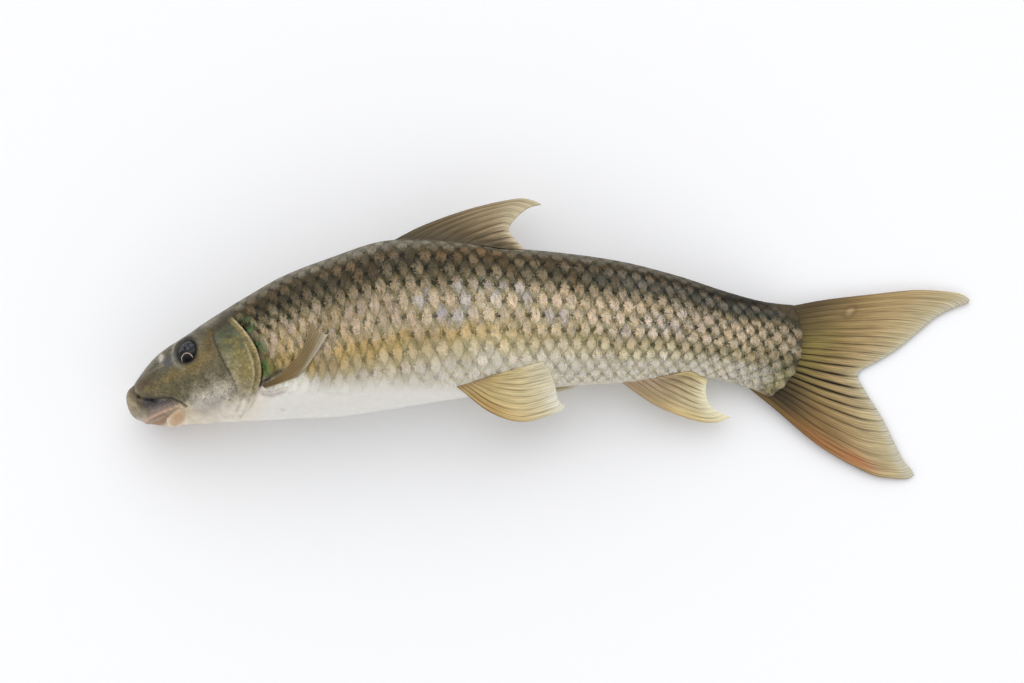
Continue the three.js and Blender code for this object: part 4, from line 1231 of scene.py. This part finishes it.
class Surface(Nodes):
    """A material's node tree, with what only a material needs."""

    def __init__(self, name, specular=SKIN_SPECULAR):
        self.material = bpy.data.materials.new(name)
        super().__init__(self.material)
        self.shader = self.tree.nodes["Principled BSDF"]
        self.shader.inputs["Specular IOR Level"].default_value = specular

    def read(self, name, output="Vector"):
        return self.add("ShaderNodeAttribute", attribute_name=name).outputs[output]

    def noise(self, size_mm, detail=2, vector=None, rough=0.5):
        node = self.add("ShaderNodeTexNoise")
        self.put(vector if vector is not None else self.place(), node.inputs["Vector"])
        node.inputs["Scale"].default_value = 1 / (size_mm * MM) if vector is None else 1 / size_mm
        node.inputs["Detail"].default_value = detail
        node.inputs["Roughness"].default_value = rough
        return node.outputs["Fac"]

    def blend(self, first, second, share):
        node = self.add("ShaderNodeMix", data_type="RGBA")
        for value, socket in ((share, 0), (first, 6), (second, 7)):
            self.put(value, node.inputs[socket])
        return node.outputs[2]

    def bright(self, colour, factor):
        """A colour made lighter or darker by a factor."""
        return self.vector("MULTIPLY", colour, self.join(factor, factor, factor))

    def bump(self, height, distance_mm):
        node = self.add("ShaderNodeBump")
        node.inputs["Strength"].default_value = 1
        node.inputs["Distance"].default_value = distance_mm * MM
        self.put(height, node.inputs["Height"])
        self.put(node.outputs[0], self.shader.inputs["Normal"])

    def finish(self, colour, roughness, coat=0, coat_roughness=0.1):
        self.put(colour, self.shader.inputs["Base Color"])
        self.put(roughness, self.shader.inputs["Roughness"])
        self.shader.inputs["Coat Weight"].default_value = coat
        self.shader.inputs["Coat Roughness"].default_value = coat_roughness
        return self.material


def rgba(colour):
    return tuple(float(c) for c in colour) + (1,)


def skin_material():
    """Mottled skin: soft blotches, fine dark and pale flecks on the head, nearly plain on the belly."""
    n = Surface("fish_skin")
    tone, speckle, grain = n.read("tone"), n.read("speckle", "Fac"), n.read("grain", "Fac")
    fine = n.noise(0.8, 3, rough=0.65)
    blotch = n.noise(2.6, 3)
    shade = n.plus(n.swing(fine, 1.1), n.swing(blotch, 0.9))
    colour = n.bright(tone, n.plus(1, n.times(shade, grain)))
    dots = n.times(n.ramp(n.noise(0.9, 1), 0.56, 0.64), speckle)
    colour = n.blend(colour, n.bright(colour, 0.55), n.times(dots, 0.7))
    flecks = n.times(n.ramp(n.noise(1.25, 1), 0.6, 0.68), speckle)
    colour = n.blend(colour, n.vector("MULTIPLY", colour, (1.5, 1.42, 1.25)), n.times(flecks, 0.7))
    n.bump(n.plus(fine, blotch), 0.1)
    return n.finish(colour, n.ramp(fine, 0.3, 0.7, 0.34, 0.48), coat=0.25, coat_roughness=0.1)


def scale_material():
    """Fuzzy pale patch on each scale, a small dark spot at its base, and fine dark speckle over both."""
    n = Surface("fish_scales", SCALE_SPECULAR)
    pale, dark, mark = n.read("pale"), n.read("dark"), n.read("mark", "Fac")
    back, down, shown_from = n.split(n.read("place"))
    shown_to = n.read("rear", "Fac")
    x, y, z = n.split(n.vector("MULTIPLY", n.place(), (1000, 1000, 1000)))
    slanted = n.plus(x, n.times(y, SMEAR_SLANT))
    smear_place = n.join(slanted, n.times(y, SMEAR_STRETCH), n.times(z, SMEAR_STRETCH))
    smear = n.noise(1.5, 4, vector=smear_place, rough=0.62)
    warp = n.noise(2.6, 2)
    fleck = n.noise(0.75, 3, rough=0.7)
    spot = n.read("spot", "Fac")
    grit = n.noise(0.55, 1)
    ragged = n.times(n.minus(fleck, 0.5), n.plus(0.6, spot))
    wobble = n.minus(n.plus(warp, n.times(smear, 1.1)), 1.05)
    wobble = n.plus(wobble, ragged)
    slant = n.times(down, PATCH_SLANT)
    less = n.times(n.minus(spot, PATCH_PLAIN), PATCH_SHRINK)
    start = n.minus(n.minus(shown_from, slant), less)
    behind = n.ramp(n.plus(start, wobble), -0.16, 0.34)
    before = n.ramp(n.plus(n.plus(shown_to, slant), wobble), -0.22, 0.16)
    height = n.plus(n.maths("ABSOLUTE", down), n.times(wobble, 1.2))
    height = n.plus(height, less)
    within = n.ramp(height, 0.38, 1.02, 1, 0)
    patch = n.times(n.times(behind, before), within)
    from_base = n.length(n.over(n.plus(back, 0.06), 0.2), n.over(down, 0.46))
    from_base = n.times(from_base, n.minus(1.7, n.times(spot, 0.7)))
    blotch = n.ramp(n.plus(from_base, n.times(wobble, 2.4)), 0.35, 1.3, 1, 0)
    shown = n.blend(n.read("between"), pale, n.maths("MAXIMUM", patch, n.minus(1, mark)))
    depth = n.plus(0.4, n.times(spot, 0.6))
    shown = n.blend(shown, n.bright(dark, 0.75), n.times(n.times(blotch, mark), depth))
    outline = n.ramp(n.plus(shown_to, n.times(ragged, 0.7)), -0.02, 0.18, 1, 0)
    outline = n.times(outline, n.read("outlined", "Fac"))
    shown = n.blend(shown, dark, n.times(outline, mark))
    pore = n.length(n.over(n.minus(back, PORE_AT), 0.16), n.over(down, 0.1))
    pore = n.ramp(n.plus(pore, wobble), 0.3, 1.1, 1, 0)
    shown = n.blend(shown, rgba(LATERAL_PORE), n.times(pore, n.read("pore", "Fac")))
    speckle = n.times(n.ramp(fleck, 0.5, 0.64), n.minus(0.7, n.times(patch, 0.5)))
    shown = n.blend(shown, dark, n.times(speckle, mark))
    streak = n.swing(smear, 1.9)
    grain = n.swing(fleck, 1.1)
    grain = n.plus(grain, n.swing(grit, 1.3))
    calm = n.times(mark, n.minus(1, n.read("outlined", "Fac")))
    shade = n.times(n.plus(streak, grain), calm)
    colour = n.bright(shown, n.plus(1, shade))
    tint = n.ramp(n.noise(2.4, 2), 0.38, 0.62)
    warm, cool = n.vector("MULTIPLY", colour, (1.05, 1, 0.91)), n.vector("MULTIPLY", colour, (0.95, 0.99, 1.07))
    colour = n.blend(colour, n.blend(warm, cool, tint), calm)
    n.bump(n.plus(fleck, smear), 0.05)
    return n.finish(colour, n.ramp(fleck, 0.3, 0.7, 0.38, 0.55), coat=0.08, coat_roughness=0.08)


def fin_material(name):
    """Fin rays with dark lines between them, finer lines where the rays branch, and soft streaks along them."""
    n = Surface(name)
    phase, out, _ = n.split(n.read("place"))
    pale, dark, mark = n.read("pale"), n.read("dark"), n.read("mark", "Fac")
    drift = n.noise(0.35, 2, vector=n.join(phase, n.times(out, 0.5)))
    shifted = n.plus(phase, n.swing(drift, 0.1))
    gap = n.maths("PINGPONG", shifted, 0.5)
    width = n.plus(0.07, n.times(mark, 0.21))
    line = n.minus(1, n.ramp(gap, 0.02, width))
    least = n.ramp(mark, 0.6, 1, 0.35, 0.9)
    fade = n.ramp(n.noise(0.5, 2, vector=n.join(phase, n.times(out, 1.1))), 0.36, 0.58, least, 1)
    fine = n.maths("PINGPONG", n.times(shifted, 4), 0.5)
    branch = n.times(n.minus(1, n.ramp(fine, 0.05, 0.32)), n.ramp(out, 0.1, 0.55, 0.2, 0.5))
    streak_place = n.join(n.times(shifted, 3), n.times(out, 0.9))
    streak = n.noise(0.3, 3, vector=streak_place, rough=0.6)
    colour = n.blend(pale, dark, n.times(branch, n.times(mark, 0.55)))
    colour = n.blend(colour, dark, n.times(n.times(line, fade), mark))
    colour = n.bright(colour, n.ramp(streak, 0.36, 0.64, 0.74, 1.26))
    n.bump(n.plus(n.times(gap, 0.6), n.times(fine, 0.25)), 0.25)
    return n.finish(colour, 0.45, coat=0.15, coat_roughness=0.2)


def eye_material():
    """A dark wet eye: faint grey painted reflections over the top, and a fine pale ring low down that fades
    underneath.
    """
    n = Surface("fish_eye")
    x, y, _ = n.split(n.read("place"))
    # Painted reflections: grey clouds, stronger towards the top of the eye.
    painted_reflections = n.times(n.ramp(n.noise(2.4, 2), 0.46, 0.6), n.ramp(y, -3, 2, 0.25, 1))
    colour = n.blend(rgba(linear(10, 11, 14)), rgba(linear(58, 61, 67)), painted_reflections)
    across, up = n.minus(x, PUPIL["x"]), n.minus(y, PUPIL["y"])
    from_pupil = n.length(across, up)
    pupil = n.minus(1, n.ramp(from_pupil, PUPIL["radius"] - 0.6, PUPIL["radius"] - 0.2))
    colour = n.blend(colour, rgba(linear(8, 8, 11)), pupil)
    off_ring = n.maths("ABSOLUTE", n.minus(from_pupil, PUPIL["radius"]))
    ring = n.minus(1, n.ramp(off_ring, 0.05, 0.27))
    ring = n.times(ring, n.ramp(up, -2.2, 0.4, 0.15, 1))
    colour = n.blend(colour, rgba(linear(196, 166, 142)), ring)
    from_middle = n.length(n.over(x, EYE["along"]), n.over(y, EYE["across"]))
    colour = n.blend(colour, rgba(linear(40, 36, 32)), n.ramp(from_middle, 0.86, 0.96))
    return n.finish(colour, 0.2, coat=0.15, coat_roughness=0.03)


def lip_material():
    """Soft peach flesh, darker at the top as painted shade and mottled through, and as pale as the chin round its
    border.
    """
    n = Surface("fish_lip")
    x, up, _ = n.split(n.read("place"))
    mottle = n.noise(1.8, 3)
    crease = n.noise(0.8, 2)
    # Painted shade darkens the top of the lobe; the mottle is the flesh's own.
    shade_and_mottle = n.plus(n.ramp(up, -2, 5, 0, 0.7), n.ramp(mottle, 0.35, 0.65, -0.2, 0.3))
    colour = n.blend(rgba(LIP_PEACH), rgba(LIP_PEACH_DEEP), shade_and_mottle)
    from_middle = n.length(n.over(x, LOWER_LIP["along"]), n.over(up, LOWER_LIP["across"]))
    border = n.times(n.ramp(from_middle, 0.55, 0.92), n.ramp(up, -1, 3.5, 0.9, 0.25))
    colour = n.blend(colour, rgba(CHIN), border)
    colour = n.bright(colour, n.ramp(crease, 0.3, 0.7, 0.93, 1.06))
    n.bump(crease, 0.08)
    return n.finish(colour, 0.4, coat=0.2, coat_roughness=0.12)


def floor_material():
    n = Surface("floor", FLOOR_SPECULAR)
    return n.finish(rgba(linear(250, 250, 251)), 0.6)


# ---- surroundings

CAMERA_PLACE = (-18.5, -0.55, 1166)
CAMERA_LENS = 85
CAMERA_SENSOR = 36
FLOOR_HALF = 6


def make_camera():
    data = bpy.data.cameras.new("camera")
    data.lens = CAMERA_LENS
    data.sensor_width = CAMERA_SENSOR
    data.clip_start = 0.01
    camera = bpy.data.objects.new("camera", data)
    camera.location = (np.array(CAMERA_PLACE) + SHIFT) * MM
    bpy.context.scene.collection.objects.link(camera)
    bpy.context.scene.camera = camera


def make_floor():
    half = FLOOR_HALF
    mesh = bpy.data.meshes.new("floor")
    mesh.from_pydata([(-half, -half, 0), (half, -half, 0), (half, half, 0), (-half, half, 0)], [], [(0, 1, 2, 3)])
    floor = bpy.data.objects.new("floor", mesh)
    bpy.context.scene.collection.objects.link(floor)
    mesh.materials.append(floor_material())


# Brightness of the white tent round the fish, by height: at the horizon, low, and overhead.
TENT_HORIZON = 0.95
TENT_LOW = 1.38
TENT_OVERHEAD = 0.22
WINDOW_TOWARDS = (-0.12, 0.7, 0.7)
WINDOW_BRIGHTNESS = 1.35


def make_light():
    """A white tent, bright all round and dim overhead, so that wet dark skin keeps its depth."""
    world = bpy.data.worlds.new("studio")
    n = Nodes(world)
    direction = n.place("Generated")
    height = n.split(direction)["Z"]
    facing = n.vector("DOT_PRODUCT", direction, WINDOW_TOWARDS)
    low = n.ramp(height, 0.05, 0.28, TENT_HORIZON, TENT_LOW)
    top = n.ramp(height, 0.42, 0.85, 1, TENT_OVERHEAD / TENT_LOW)
    window = n.ramp(facing, 0.55, 1, 0, WINDOW_BRIGHTNESS)
    background = n.tree.nodes["Background"]
    background.inputs["Color"].default_value = (0.985, 0.99, 1, 1)
    n.put(n.plus(n.times(low, top), window), background.inputs["Strength"])
    bpy.context.scene.world = world
    bpy.context.scene.view_settings.view_transform = "Standard"


# ---- the scene

low_corner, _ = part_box("fish")
SHIFT = np.array([low_corner.x / MM - LIP_TIP_X, low_corner.y / MM - TAIL_TIP_Y, 0])

make_camera()
make_light()
make_floor()
make_body()
make_scales()
for fin_name, fin_shape in FINS.items():
    make_fin(fin_name, fin_shape)
for side_name, side_sign in (("left", 1), ("right", -1)):
    make_dome(f"{side_name}_eye", EYE, side_sign, eye_material(), 0)
    make_dome(f"{side_name}_lower_lip", LOWER_LIP, side_sign, lip_material(), 0.14)
